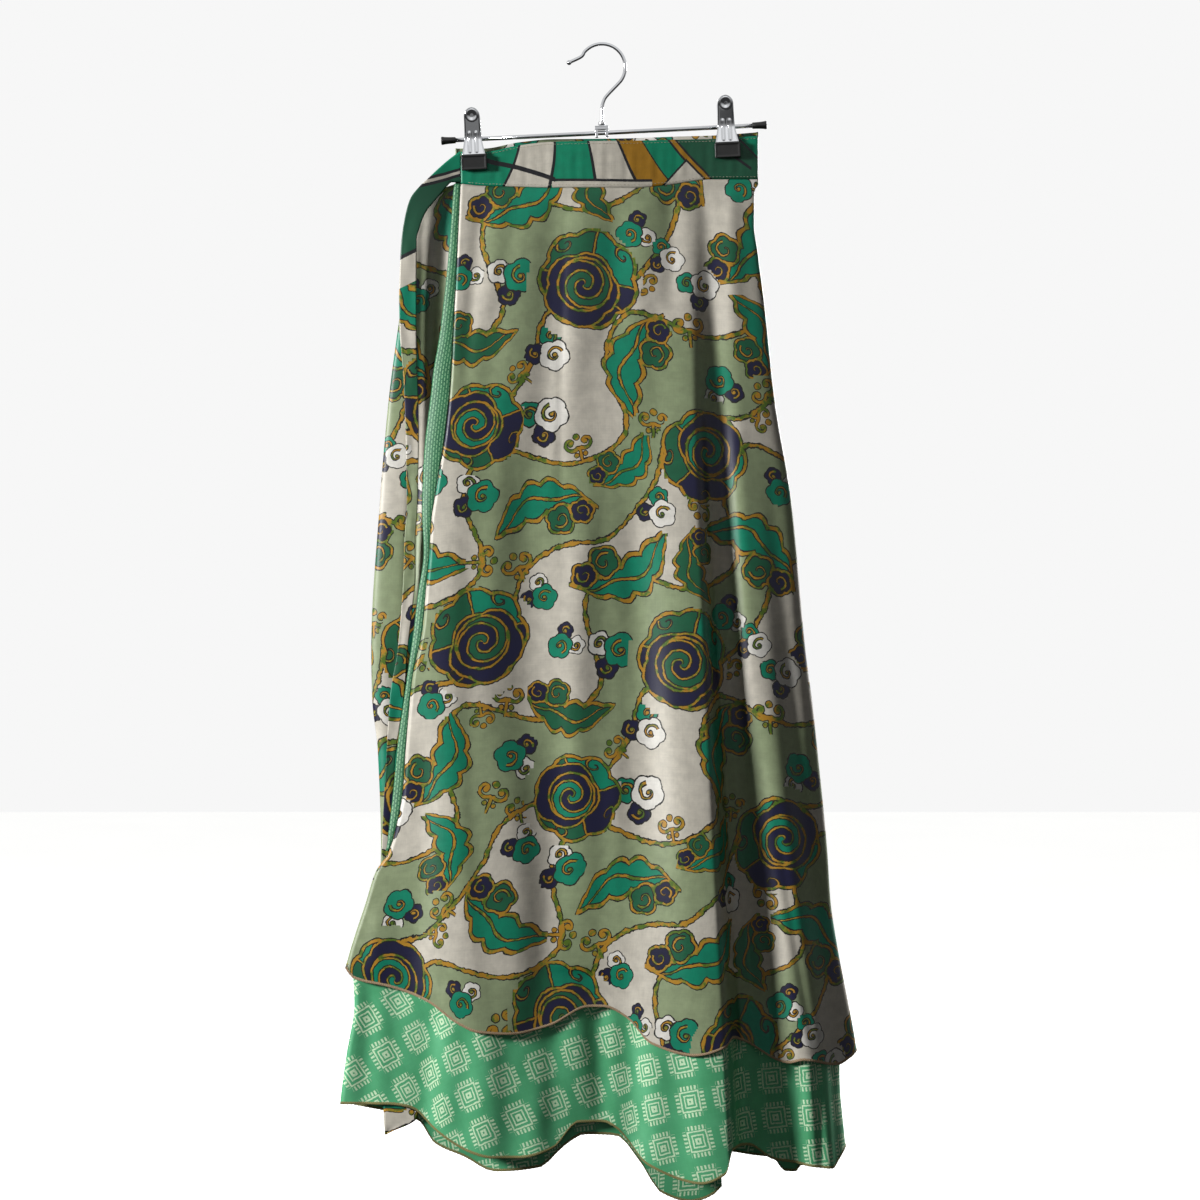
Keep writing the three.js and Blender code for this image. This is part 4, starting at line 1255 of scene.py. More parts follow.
def facing_silk():
    """The strip along the over-wrap's edge: rows of pale dashes on dark green."""
    shader = Shader("facing_silk")
    place = shader.flat_place()
    x, y, _ = shader.parts(place)
    rows = x * (1 / 2.5)
    step = rows.maths("FLOOR").maths("FLOORED_MODULO", 2.0) * 0.5
    dash = (y * (1 / 4.4) + step).to_nearest() * 4.4 - 1.5
    line = (rows - 0.5).to_nearest() * 2.5 - 0.38
    mask = dash.most(line) < 0
    worn = shader.noise(place, 1.5, 2.0, 0.7).between(0.32, 0.5, 0.35, 1.0)
    ground = shader.blend(shader.noise(place, 8.0, 2.0, 0.6), colour("#265c3f"), colour("#387a51"))
    shown = shader.blend(mask * worn, ground, colour("#86b98c"))
    return silk(shader, shown, place, 0.5)


def thread(name, light, dark):
    """Loops of overlock thread, slanted across the edge, with painted shade darkening the grooves between the
    loops.
    """
    shader = Shader(name)
    place = shader.flat_place()
    x, y, _ = shader.parts(place)
    slant = ((x + y * 0.9) * (1 / 1.9)).to_nearest() * 2
    fuzz = shader.noise(place, 0.5, 3.0, 0.7)
    # painted shade: the colour runs to the dark thread colour in the grooves between the loops and to the
    # light one on their tops
    shown = shader.blend(slant * 0.8 + fuzz * 0.3, colour(dark), colour(light))
    return shader.surface(Base_Color=shown, Roughness=0.8, bump=(slant + fuzz * 0.4, 0.6, 0.0005))


def metal(name, base, roughness):
    """Plated steel with faint smears."""
    shader = Shader(name)
    place = shader.node("TexCoord", out="Object")
    smear = shader.node("TexNoise", {}, {"Vector": place, "Scale": 190.0, "Detail": 4.0})
    fine = shader.node("TexNoise", {}, {"Vector": place, "Scale": 2200.0, "Detail": 2.0})
    shown = shader.blend(smear.between(0.3, 0.7), colour(base), colour("#e4e4e4"))
    return shader.surface(
        Base_Color=shown,
        Metallic=1.0,
        Roughness=smear.between(0.35, 0.65, roughness, roughness + 0.12),
        bump=(fine, 0.04, 0.0001),
    )


def rubber():
    """Black rubber with a fine grain and a little dust."""
    shader = Shader("black_rubber")
    place = shader.node("TexCoord", out="Object")
    grain = shader.node("TexNoise", {}, {"Vector": place, "Scale": 1500.0, "Detail": 3.0})
    dust = shader.node("TexNoise", {}, {"Vector": place, "Scale": 160.0, "Detail": 4.0})
    shown = shader.blend(dust.between(0.45, 0.8), colour("#080808"), colour("#161514"))
    return shader.surface(
        Base_Color=shown, Roughness=grain.between(0.3, 0.7, 0.3, 0.46), bump=(grain, 0.3, 0.0002)
    )


MATERIAL_MAKERS = {
    "rose_silk": rose_silk,
    "green_silk": green_silk,
    "band_silk": band_silk,
    "tie_silk": tie_silk,
    "facing_silk": facing_silk,
    # each thread's second colour is the painted shade in the grooves between its loops
    "tan_thread": lambda: thread("tan_thread", "#c2a888", "#8a6f50"),
    "olive_thread": lambda: thread("olive_thread", "#a09a63", "#6a6539"),
    "pale_thread": lambda: thread("pale_thread", "#cfc8b4", "#8f8871"),
    "chrome": lambda: metal("chrome", "#c9c7c3", 0.07),
    "dull_steel": lambda: metal("dull_steel", "#8d9094", 0.22),
    "black_rubber": rubber,
}


def material(name):
    """A material by name, made the first time that it is asked for."""
    return bpy.data.materials.get(name) or MATERIAL_MAKERS[name]()


# ---------------------------------------------------------------- settings


class ClothSettings(bpy.types.PropertyGroup):
    """Sizes of the cloth that a user may change."""

    wall: bpy.props.FloatProperty(
        name="Cloth", description="Thickness of one layer of silk", default=0.45 * MM, unit="LENGTH"
    )
    band_wall: bpy.props.FloatProperty(
        name="Waistband", description="Thickness of the folded waistband", default=1.5 * MM, unit="LENGTH"
    )
    stitch: bpy.props.FloatProperty(
        name="Stitch",
        description="Length of one stitch of the top stitching",
        default=2.3 * MM,
        unit="LENGTH",
    )


class StageSettings(bpy.types.PropertyGroup):
    """Light and view that a user may change."""

    floor: bpy.props.FloatVectorProperty(
        name="Floor", description="Colour of the floor", subtype="COLOR", default=(0.9, 0.9, 0.89)
    )
    key: bpy.props.FloatProperty(
        name="Key light", description="Power of the large light at the left", default=164.0, unit="POWER"
    )
    lens: bpy.props.FloatProperty(
        name="Lens", description="Focal length of the camera", default=105.0, unit="CAMERA"
    )


# ---------------------------------------------------------------- pieces

# Turn and shift of the print on each panel of the outer layer.
PRINT_PLACES = {
    "outer_front": (-4, (40, 620)),
    "outer_back": (3, (150, 300)),
    "outer_underwrap": (-8, (260, 90)),
}
# Where across each panel its grain hangs straight, its turn in degrees, and how far above the
# origin the point lies that the flared panel is cut round.
GRAIN = {
    "outer_front": (0.35, 0, 667),
    "outer_back": (0.5, 0, 667),
    "outer_underwrap": (0.2, 0, 667),
    "under_front": (0.74, -8, 250),
    "under_back": (0.5, 4, 667),
    "under_underwrap": (0.6, -12, 667),
}
# Cloth, material slot and hem thread of each layer.
LAYERS = {
    "outer": ("rose_silk", "rose_print", "tan_thread"),
    "under": ("green_silk", "green_print", "olive_thread"),
}
SERGE_PROFILE = table(
    "up out", (2.2, 0.3), (1.3, 0.55), (0.3, 0.6), (-0.3, 0.25), (-0.3, -0.25), (0.3, -0.6), (1.3, -0.55),
    (2.2, -0.3),
)  # fmt: skip
SERGE_STEP = 0.75
SERGE_LOOP = 2.2
SERGE_SWELL, SERGE_RAGGED = 0.3, 0.12
STITCH_PITCH, STITCH_THICKNESS, STITCH_LIFT = 1.35, 0.42, 0.12
FACING_WALL = 1.4  # of the facing, in layers of silk
FACING_SLANT, FACING_BULGE = 0.2, 0.5
TIE_WALL = 1.0


def resample(line, step):
    """A line's points at even steps, and its length at each."""
    lengths = np.concatenate([[0], np.cumsum(np.linalg.norm(np.diff(line, axis=0), axis=1))])
    at = np.linspace(0, lengths[-1], max(3, int(lengths[-1] / step)))
    return np.stack([np.interp(at, lengths, line[:, k]) for k in range(3)], axis=1), at


def serge(name, edge, inner, thread_name):
    """Overlock stitching round a cloth edge, from the edge's points and those just inside it."""
    line, along = resample(edge, SERGE_STEP)
    inside, _ = resample(inner, SERGE_STEP * len(inner) / len(edge))
    spots = np.linspace(0, 1, len(line))
    inner_spots = np.linspace(0, 1, len(inside))
    inside = np.stack([np.interp(spots, inner_spots, inside[:, k]) for k in range(3)], axis=1)
    up = inside - line
    up /= np.linalg.norm(up, axis=1, keepdims=True)
    tangent = np.gradient(line, axis=0)
    tangent /= np.linalg.norm(tangent, axis=1, keepdims=True)
    out = np.cross(tangent, up)
    out /= np.linalg.norm(out, axis=1, keepdims=True)
    loops = 1 + SERGE_SWELL * np.sin(2 * math.pi * along / SERGE_LOOP)
    points, flat = [], []
    for up_by, out_by in zip(SERGE_PROFILE["up"], SERGE_PROFILE["out"]):
        ragged = SERGE_RAGGED * np.sin(along * 1.7 + up_by * 2)
        points.append(line + up * (up_by + ragged)[:, None] + out * (out_by * loops)[:, None])
        flat.append(np.stack([along, np.full_like(along, up_by)], axis=1))
    mesh, _, _ = grid_mesh(name, np.array(points), np.array(flat))
    return new_object(name, mesh, thread_name)


def cloth_piece(node, mesh, finish, wall):
    """The cloth in place of a solid."""
    piece = new_object(node + "_cloth", mesh, finish)
    give_wall(piece, wall)
    return in_place_of(piece, node)


def make_panel(node):
    """One panel of cloth with its print and its serged hem."""
    layer, part = node.split("_")
    finish, slot, thread_name = LAYERS[layer]
    points = panel_points(node)
    straight, turn, flare = GRAIN[node]
    flat = turned(flat_cloth(points, straight, flare), turn)
    mesh, row, column = grid_mesh(node + "_cloth", points, flat)
    if node in PRINT_PLACES:
        lay_print(mesh, row, column, flat, *PRINT_PLACES[node])
    piece = cloth_piece(node, mesh, finish, bpy.context.scene.skirt_cloth.wall / MM)
    serged = serge(node + "_hem", points[-1], points[-4], thread_name)


class SKIRT_OT_outer_layer(bpy.types.Operator):
    """Make the printed outer layer: over-wrap, back and under-wrap"""

    bl_idname = "skirt.outer_layer"
    bl_label = "Outer layer"

    def execute(self, context):
        for node in ("outer_front", "outer_back", "outer_underwrap"):
            make_panel(node)
        return {"FINISHED"}


class SKIRT_OT_under_layer(bpy.types.Operator):
    """Make the longer green under layer: over-wrap, back and under-wrap"""

    bl_idname = "skirt.under_layer"
    bl_label = "Under layer"

    def execute(self, context):
        for node in ("under_front", "under_back", "under_underwrap"):
            make_panel(node)
        return {"FINISHED"}


def band_points(node):
    """Points of one stretch of the waistband."""
    middle = BAND / 2
    first = WAIST["x"][0]
    right, left = section("right")(SEAM_DROP) - middle, section("left")(SEAM_DROP) + middle

    def free_end(drop):
        return first + 0 * drop

    def sunk(drop):
        return BAND + BAND_GAP + middle + 0 * drop

    stretches = {
        "band_front": (first, right, 0, over_wrap(middle, no_inset, free_end)),
        "band_back": (right, left, BACK_BAND_RISE, back(middle, no_inset, sunk)),
        "band_underwrap": (left, UNDER_BAND_END, UNDER_BAND_RISE, under_wrap(middle, sunk)),
    }
    columns = {
        "band_front": fractions((0.94, 120), (0.985, 12), (0.996, 5), (1, 3)),
        "band_back": fractions((0.004, 3), (0.02, 5), (0.98, 120), (0.996, 5), (1, 3)),
        "band_underwrap": fractions((0.006, 3), (0.03, 6), (1, 90)),
    }[node]
    start, end, rise, form = stretches[node]
    u, v = np.meshgrid(columns, fractions((1, 18)))
    x = mix(start, end, u)
    drop = mix(read(WAIST, "x", "top", x) - rise, waist_seam(x), v)
    points = form(x, drop)
    pull = np.sin(x * 0.55) * np.sin(x * 0.13 + 1) * ease(0, 0.35, v) * (1 - ease(0.75, 1, v)) * 0.22
    roll = 0.25 * np.cos(math.pi * v)
    ends = ease(0, 0.03, np.minimum(u, 1 - u))
    return points - inward(points) * ((pull - roll * 0.3) * ends)[..., None]


def stitch_line(name, line, length, thread_name):
    """A row of stitches lying along a line."""
    spots, _ = resample(line, length * STITCH_PITCH)
    size = Matrix.Diagonal((length / 2, STITCH_THICKNESS / 2, STITCH_THICKNESS / 2, 1 / MM)) * MM
    bm = bmesh.new()
    for here, ahead in zip(spots[:-1], spots[1:]):
        run = Vector(ahead - here).normalized()
        turn = run.to_track_quat("X", "Z").to_matrix().to_4x4()
        place = Matrix.Translation(Vector((here + ahead) / 2) * MM) @ turn @ size
        bmesh.ops.create_uvsphere(bm, u_segments=8, v_segments=5, radius=1, matrix=place)
    mesh = mesh_of(bm, name)
    shade_smooth(mesh)
    lay_flat(mesh, vertex_places(mesh)[:, [0, 2]])
    return new_object(name, mesh, thread_name)


class SKIRT_OT_waistband(bpy.types.Operator):
    """Make the waistband's three stretches with their top stitching"""

    bl_idname = "skirt.waistband"
    bl_label = "Waistband"

    def execute(self, context):
        wall = context.scene.skirt_cloth.band_wall / MM
        stitch = context.scene.skirt_cloth.stitch / MM
        for node, rests_on in (
            ("band_front", ["clip_left_jaw_front", "clip_right_jaw_front"]),
            ("band_back", ["clip_left_jaw_back", "clip_right_jaw_back"]),
            ("band_underwrap", ["band_front"]),
        ):
            points = band_points(node)
            flat = flat_cloth(points, 0)
            flat[..., 1] -= flat[:1, :, 1]
            mesh, row, column = grid_mesh(node + "_cloth", points, flat)
            finish = "band_silk" if node == "band_front" else "rose_silk"
            if node != "band_front":
                lay_print(mesh, row, column, flat, 8, (60, 40))
            piece = cloth_piece(node, mesh, finish, wall)
            for number, at in ((1, 1), (2, -2)):
                line = points[at, 3:-3] - inward(points)[at, 3:-3] * (wall / 2 + STITCH_LIFT)
                stitches = stitch_line(f"{node}_stitches_{number}", line, stitch, "pale_thread")
        return {"FINISHED"}


class SKIRT_OT_edge_facing(bpy.types.Operator):
    """Make the narrow strip that finishes the over-wrap's free edge"""

    bl_idname = "skirt.edge_facing"
    bl_label = "Edge facing"

    def execute(self, context):
        points = panel_points("outer_front")
        rows = points[GRIDS["outer_front"][1] <= FACING_END]
        start = rows[:, 0]
        along = rows[:, 1] - start
        along[:, 2] = 0
        along /= np.linalg.norm(along, axis=1, keepdims=True)
        width = free_edge("facing")(-start[:, 2])
        strips, flat = [], []
        for part in np.linspace(0, 1, 13):
            point = start - along * (GAP + (1 - part) * width)[:, None]
            point[:, 1] += FACING_SLANT * width * (1 - part) ** 2 - FACING_BULGE * math.sin(math.pi * part)
            strips.append(point)
            flat.append(np.stack([part * width, start[:, 2]], axis=1))
        grid, flat = np.stack(strips, axis=1), np.stack(flat, axis=1)
        mesh, _, _ = grid_mesh("edge_facing_cloth", grid, flat)
        wall = context.scene.skirt_cloth.wall / MM * FACING_WALL
        piece = cloth_piece("edge_facing", mesh, "facing_silk", wall)
        return {"FINISHED"}


class SKIRT_OT_ties(bpy.types.Operator):
    """Make the two ties, one hanging at the left and one inside"""

    bl_idname = "skirt.ties"
    bl_label = "Ties"

    def execute(self, context):
        rows = {**TIE_PATH, "row": np.arange(len(TIE_PATH["outer_x"]), dtype=float)}
        u, v = np.meshgrid(fractions((1, 12)), fractions((1, 320)))
        at = v * rows["row"][-1]
        x, y, drop = (
            mix(read(rows, "row", f"outer_{axis}", at), read(rows, "row", f"inner_{axis}", at), u)
            for axis in ("x", "y", "drop")
        )
        crumple = np.sin(drop * 0.05 + 3 * u) * 0.35 + np.sin(drop * 0.13 - 4 * u) * 0.2
        points = as_points(x, y + crumple * np.sin(math.pi * u) * ease(130, 180, drop), drop)
        tied = {"tie_outer": points}
        u, v = np.meshgrid(fractions((1, 8)), fractions((1, 160)))
        across = (u - 0.5) * INNER_TIE_WIDTH
        top = waist_seam(INNER_TIE["x"][0] + across) + GAP
        drop = mix(top, INNER_TIE["drop"][-1], v)
        x = read(INNER_TIE, "drop", "x", drop) + across
        tied["tie_inner"] = as_points(x, read(INNER_TIE, "drop", "y", drop), drop)
        for node, rests_on in (("tie_outer", "band_front_cloth"), ("tie_inner", "band_underwrap_cloth")):
            points = tied[node]
            flat = flat_cloth(points, 0)
            top = points[0, :, 2].max()
            flat[..., 1] -= top
            mesh, row, column = grid_mesh(node + "_cloth", points, flat)
            lay_print(mesh, row, column, flat + (0, top), 12, (210, 150))
            piece = cloth_piece(node, mesh, "tie_silk", TIE_WALL)
        return {"FINISHED"}


# ---------------------------------------------------------------- hanger

WIRE = 1.6
HOOK_X, HOOK_RADIUS = 3.7, 19.75 + WIRE
HOOK_FROM, HOOK_TO = 153, -46
HOOK_TIP = (-25, -14.5)
HOOK_STEM = ((8.2, -45.6), (5.2, -50.5), (3.8, -56), (3.5, -62), (3.5, -73))
TIP_BALL = 2.3
BAR_X, BAR_DROP, BAR_RADIUS, BAR_LENGTH, BAR_TILT = 5.5, 80, 2, 296, 2.8
CAP_LENGTH, CAP_MOUTH, CAP_END, CAP_FLOOR = 13.3, 2.9, 3.8, 1.6
SADDLE = {"x": -2, "width": 12, "wall": 1, "above": 6.6, "below": 3.9, "arch": 2.8, "leg": 2.6}
CLIPS = {"clip_left": -120.5, "clip_right": 112.5}
JAW_WIDTH, JAW_HEIGHT, JAW_DEPTH, JAW_TOP = 23.5, 14, 4.8, -15.3
JAW_ROUNDING, JAW_FRAME, JAW_SINK, JAW_FRAME_ROUNDING = 0.9, 2.2, 0.5, 0.2
LEVER_WALL, LEVER_SHEET = 1.2, 0.8
LEVER = table(
    "height width stand",
    (-15, 21.5, 7.4),
    (-5, 17.2, 4.9),
    (0, 15.6, 4.3),
    (5, 15, 5.1),
    (14, 14.4, 7.6),
    (21.5, 14.2, 9.4),
    (25, 12.4, 10.3),
    (26.9, 9, 10.8),
    (27.7, 5, 11),
)
LEVER_TIP = {"height": 20.6, "radius": 7.1, "share": 0.3}
DISH = {"height": 21, "depth": 0.8, "floor": 1.5, "edge": 4.4, "lip": 4.8, "lip_height": 0.45}
RIDGE = {"aside": 3.1, "width": 1.2, "height": 0.95, "top": (7.5, 5), "foot": (-14.5, -12)}
LEVER_RIM = 0.45
COIL = {"turns": 7, "radius": 3.1, "length": 12, "wire": 0.7}
SADDLE_ROUNDING = 0.25
SWIVEL = ((0, 1.7), (0, 2.9), (0.25, 3.1), (2.7, 3.1), (3, 2.9), (3.4, 2.3), (3.4, 1.7), (0, 1.7))


def rail_place():
    """Where the bar's own frame stands: X along the bar."""
    turn = Matrix.Rotation(-math.radians(BAR_TILT), 4, "Y")
    return Matrix.Translation(Vector((BAR_X, 0, -BAR_DROP)) * MM) @ turn


def hanger_piece(name, node, mesh, finish, place=None):
    """A finished piece of the hanger that stands for its solid."""
    if place is not None:
        mesh.transform(place)
    shade_smooth(mesh)
    piece = new_object(name, mesh, finish)
    return in_place_of(piece, node)


def swept(name, points, radius, sides=6):
    """A round wire along points in millimetres, with closed ends."""
    curve = bpy.data.curves.new(name, "CURVE")
    curve.dimensions = "3D"
    curve.bevel_depth = radius * MM
    curve.bevel_resolution = sides
    curve.use_fill_caps = True
    line = curve.splines.new("POLY")
    line.points.add(len(points) - 1)
    for spot, point in zip(line.points, points):
        spot.co = (*(Vector(point) * MM), 1)
    holder = bpy.data.objects.new(name, curve)
    mesh = bpy.data.meshes.new_from_object(holder)
    bpy.data.objects.remove(holder)
    bpy.data.curves.remove(curve)
    mesh.name = name
    return mesh


def lathed(name, profile, steps=40):
    """A piece turned about X from its places along it and radii."""
    bm = bmesh.new()
    spots = [bm.verts.new(Vector((along, radius, 0)) * MM) for along, radius in profile]
    edges = [bm.edges.new(pair) for pair in zip(spots, spots[1:])]
    bmesh.ops.spin(
        bm, geom=spots + edges, cent=(0, 0, 0), axis=(1, 0, 0), angle=2 * math.pi, steps=steps, use_merge=True
    )
    bmesh.ops.remove_doubles(bm, verts=bm.verts, dist=1e-6)
    bmesh.ops.recalc_face_normals(bm, faces=bm.faces)
    return mesh_of(bm, name)


def smooth_line(points, steps):
    """Points on a smooth curve through some others."""
    points = np.array(points, float)
    ahead = np.concatenate([points[1:], 2 * points[-1:] - points[-2:-1]])
    behind = np.concatenate([2 * points[:1] - points[1:2], points[:-1]])
    tangent = (ahead - behind) / 2
    line = []
    for i in range(len(points) - 1):
        for t in np.arange(steps) / steps:
            a, b = points[i], points[i + 1]
            keep = 2 * t**3 - 3 * t**2 + 1
            leave, arrive = t**3 - 2 * t**2 + t, t**3 - t**2
            line.append(keep * a + (1 - keep) * b + leave * tangent[i] + arrive * tangent[i + 1])
    return [tuple(point) for point in line] + [tuple(points[-1])]


class SKIRT_OT_hook(bpy.types.Operator):
    """Make the wire hook with its ball end and swivel"""

    bl_idname = "skirt.hook"
    bl_label = "Hook"

    def execute(self, context):
        middle = -math.sqrt((HOOK_RADIUS - WIRE) ** 2 - HOOK_X**2)
        points = [(HOOK_TIP[0], 0, HOOK_TIP[1])]
        for turn in np.radians(np.linspace(HOOK_FROM, HOOK_TO, 15)):
            points.append((HOOK_X + HOOK_RADIUS * math.cos(turn), 0, middle + HOOK_RADIUS * math.sin(turn)))
        points += [(x, 0, z) for x, z in HOOK_STEM]
        hanger_piece("hook_wire", "hook", swept("hook_wire", smooth_line(points, 8), WIRE), "chrome")
        run = (Vector(points[1]) - Vector(points[0])).normalized()
        spot = (Vector(points[0]) - run * (TIP_BALL - 0.6)) * MM
        bm = bmesh.new()
        bmesh.ops.create_uvsphere(
            bm, u_segments=32, v_segments=20, radius=TIP_BALL * MM, matrix=Matrix.Translation(spot)
        )
        hanger_piece("hook_tip", "hook_ball", mesh_of(bm, "hook_tip"), "chrome")
        upright = Matrix.Translation(Vector((HOOK_STEM[-1][0], 0, HOOK_STEM[-1][1])) * MM)
        upright = upright @ Matrix.Rotation(-math.pi / 2, 4, "Y")
        hanger_piece("hook_swivel", "swivel", lathed("hook_swivel", SWIVEL), "dull_steel", upright)
        return {"FINISHED"}


class SKIRT_OT_bar(bpy.types.Operator):
    """Make the bar with its end caps and the saddle that the hook turns in"""

    bl_idname = "skirt.bar"
    bl_label = "Bar"

    def execute(self, context):
        reach = BAR_LENGTH / 2
        profile = [(-reach, 0), (-reach, BAR_RADIUS), (reach, BAR_RADIUS), (reach, 0)]
        hanger_piece("bar_rod", "bar", lathed("bar_rod", profile), "chrome", rail_place())
        bore, floor = BAR_RADIUS + 0.05, CAP_FLOOR
        cap = [
            (-CAP_LENGTH + floor, bore),
            (-CAP_LENGTH + floor, CAP_MOUTH - 0.3),
            (-CAP_LENGTH + floor + 0.3, CAP_MOUTH),
            (-5, CAP_MOUTH + 0.25),
            (-1.5, CAP_END - 0.35),
            (0.3, CAP_END),
            (floor - 0.5, CAP_END),
            (floor - 0.1, CAP_END - 0.4),
            (floor, CAP_END - 0.9),
            (floor, 0),
        ]
        for side, node in ((-1, "cap_left"), (1, "cap_right")):
            turn = Matrix.Rotation(math.pi if side < 0 else 0, 4, "Z")
            place = rail_place() @ Matrix.Translation((side * (reach + GAP) * MM, 0, 0)) @ turn
            hanger_piece(node + "_end", node, lathed(node + "_end", cap), "black_rubber", place)
        self.saddle()
        return {"FINISHED"}

    def saddle(self):
        """A strip bent over the bar that stands on four legs."""
        inner = BAR_RADIUS + GAP
        outer = inner + SADDLE["wall"]
        reach, low, high = SADDLE["width"] / 2, -SADDLE["below"], SADDLE["above"]
        roof, arch, leg = high - SADDLE["wall"], SADDLE["arch"], SADDLE["leg"]
        blocks = [((-reach, -outer, roof), (reach, outer, high))]
        for side in (-1, 1):
            near, far = sorted((side * inner, side * outer))
            blocks.append(((-reach, near, arch), (reach, far, roof + 0.01)))
            blocks.append(((-reach, near, low), (-reach + leg, far, arch + 0.01)))
            blocks.append(((reach - leg, near, low), (reach, far, arch + 0.01)))
        bm = bmesh.new()
        for low_corner, high_corner in blocks:
            size = Vector(high_corner) - Vector(low_corner)
            middle = (Vector(high_corner) + Vector(low_corner)) / 2 + Vector((SADDLE["x"], 0, 0))
            place = Matrix.Translation(middle * MM) @ Matrix.Diagonal((*(size * MM), 1))
            bmesh.ops.create_cube(bm, size=1, matrix=place)
        round_edges(bm, bm.edges[:], SADDLE_ROUNDING, 2)
        piece = hanger_piece("bar_saddle", "saddle", mesh_of(bm, "bar_saddle"), "chrome", rail_place())
        piece.modifiers.new("corners", "WEIGHTED_NORMAL")


class SKIRT_OT_clips(bpy.types.Operator):
    """Make the two sprung clips: levers, rubber jaws and coiled springs"""

    bl_idname = "skirt.clips"
    bl_label = "Clips"

    def execute(self, context):
        for name, along in CLIPS.items():
            place = rail_place() @ Matrix.Translation((along * MM, 0, 0))
            turns = np.linspace(0, COIL["turns"] * 2 * math.pi, COIL["turns"] * 24)
            run = (turns / turns[-1] - 0.5) * COIL["length"]
            coil = np.stack([run, COIL["radius"] * np.cos(turns), COIL["radius"] * np.sin(turns)], axis=1)
            mesh = swept(name + "_coil", coil, COIL["wire"], 3)
            hanger_piece(name + "_coil", name + "_spring", mesh, "dull_steel", place)
            for end, side in (("front", -1), ("back", 1)):
                self.lever(f"{name}_lever_{end}", side, place)
                self.jaw(f"{name}_jaw_{end}", side, place)
        return {"FINISHED"}

    def lever(self, node, side, place):
        """A pressed lever: rounded tip, round dish and two ridges down its lower half."""
        share, radius = LEVER_TIP["share"], LEVER_TIP["radius"]
        u, v = np.meshgrid(fractions((1, 44)), fractions((share, 40), (1, 70)))
        arc = np.clip(v / share, 0, 1) * math.pi / 2
        below = mix(LEVER_TIP["height"], LEVER["height"][0], (v - share) / (1 - share))
        height = np.where(v < share, LEVER_TIP["height"] + radius * np.cos(arc), below)
        width = read(LEVER, "height", "width", height)
        width = np.where(v < share, 2 * radius * np.sin(arc), width)
        across = (u - 0.5) * width
        stand = read(LEVER, "height", "stand", height) + LEVER_WALL / 2
        round_dish = np.hypot(across, height - DISH["height"])
        dish = DISH["depth"] * (1 - ease(DISH["floor"], DISH["edge"], round_dish))
        dish -= DISH["lip_height"] * np.exp(-(((round_dish - DISH["lip"]) / 0.8) ** 2))
        ridges = np.exp(-(((np.abs(across) - RIDGE["aside"]) / RIDGE["width"]) ** 2))
        ridges *= ease(*RIDGE["top"], height) * ease(*RIDGE["foot"], height)
        rim = ease(0.42, 0.5, np.abs(u - 0.5))
        stand = stand - dish + RIDGE["height"] * ridges - LEVER_RIM * rim
        points = np.stack([-side * across, side * stand, height], axis=-1)
        mesh, _, _ = grid_mesh(node + "_plate", points)
        mesh.transform(place)
        piece = new_object(node + "_plate", mesh, "chrome")
        give_wall(piece, LEVER_SHEET)
        in_place_of(piece, node)

    def jaw(self, node, side, place):
        """A ribbed rubber pad with rounded corners."""
        bm = bmesh.new()
        size = Matrix.Diagonal((JAW_WIDTH * MM, JAW_DEPTH * MM, JAW_HEIGHT * MM, 1))
        middle = Vector((0, side * (BUNDLE + GAP + JAW_DEPTH / 2), JAW_TOP - JAW_HEIGHT / 2)) * MM
        bmesh.ops.create_cube(bm, size=1, matrix=Matrix.Translation(middle) @ size)
        round_edges(bm, bm.edges[:], JAW_ROUNDING, 3)
        front = [f for f in bm.faces if f.normal.y * side > 0.99 and f.calc_area() > 50 * MM * MM]
        inset = bmesh.ops.inset_region(bm, faces=front, thickness=JAW_FRAME * MM, depth=-JAW_SINK * MM)
        frame_edges = {e for f in inset["faces"] for e in f.edges}
        round_edges(bm, list(frame_edges), JAW_FRAME_ROUNDING, 2)
        piece = hanger_piece(node + "_pad", node, mesh_of(bm, node + "_pad"), "black_rubber", place)
        piece.modifiers.new("corners", "WEIGHTED_NORMAL")


# ---------------------------------------------------------------- stage

VIEW_MIDDLE = Vector((1.84, 0, -509.7)) * MM
VIEW_WIDTH = 1104 * MM
SENSOR = 36.0
FLOOR_HEIGHT = -1.25
FLOOR_REACH = 9.0
FLOOR_GLOW = 1.0
SURROUNDING, SEEN, REFLECTED = 0.045, 0.93, 0.8  # the surrounding as light, as seen and in metal
REFLECTED_FROM, REFLECTED_TO = -0.3, 0.35  # how far up the reflected surrounding goes from dark to pale
AIM, CARD_AIM = Vector((0, 0, -0.5)), Vector((0, 0, -0.1))
# Lights: place and size in metres, and power as a part of the key light's.
LIGHTS = {
    "key": ((-3.05, -1.3, 0.3), 0.6, 1),
    "fill": ((-0.4, -3.6, 0.3), 2.2, 0.008),
    "back_light": ((2.3, 2.5, 0.5), 0.8, 0.9),
}
# Pale cards that only show in bright metal: place and size in metres, and power in watts.
CARDS = {"card": ((0.1, -3.0, 1.45), 1.9, 4), "low_card": ((-0.2, -2.4, -1.0), 0.9, 0.5)}


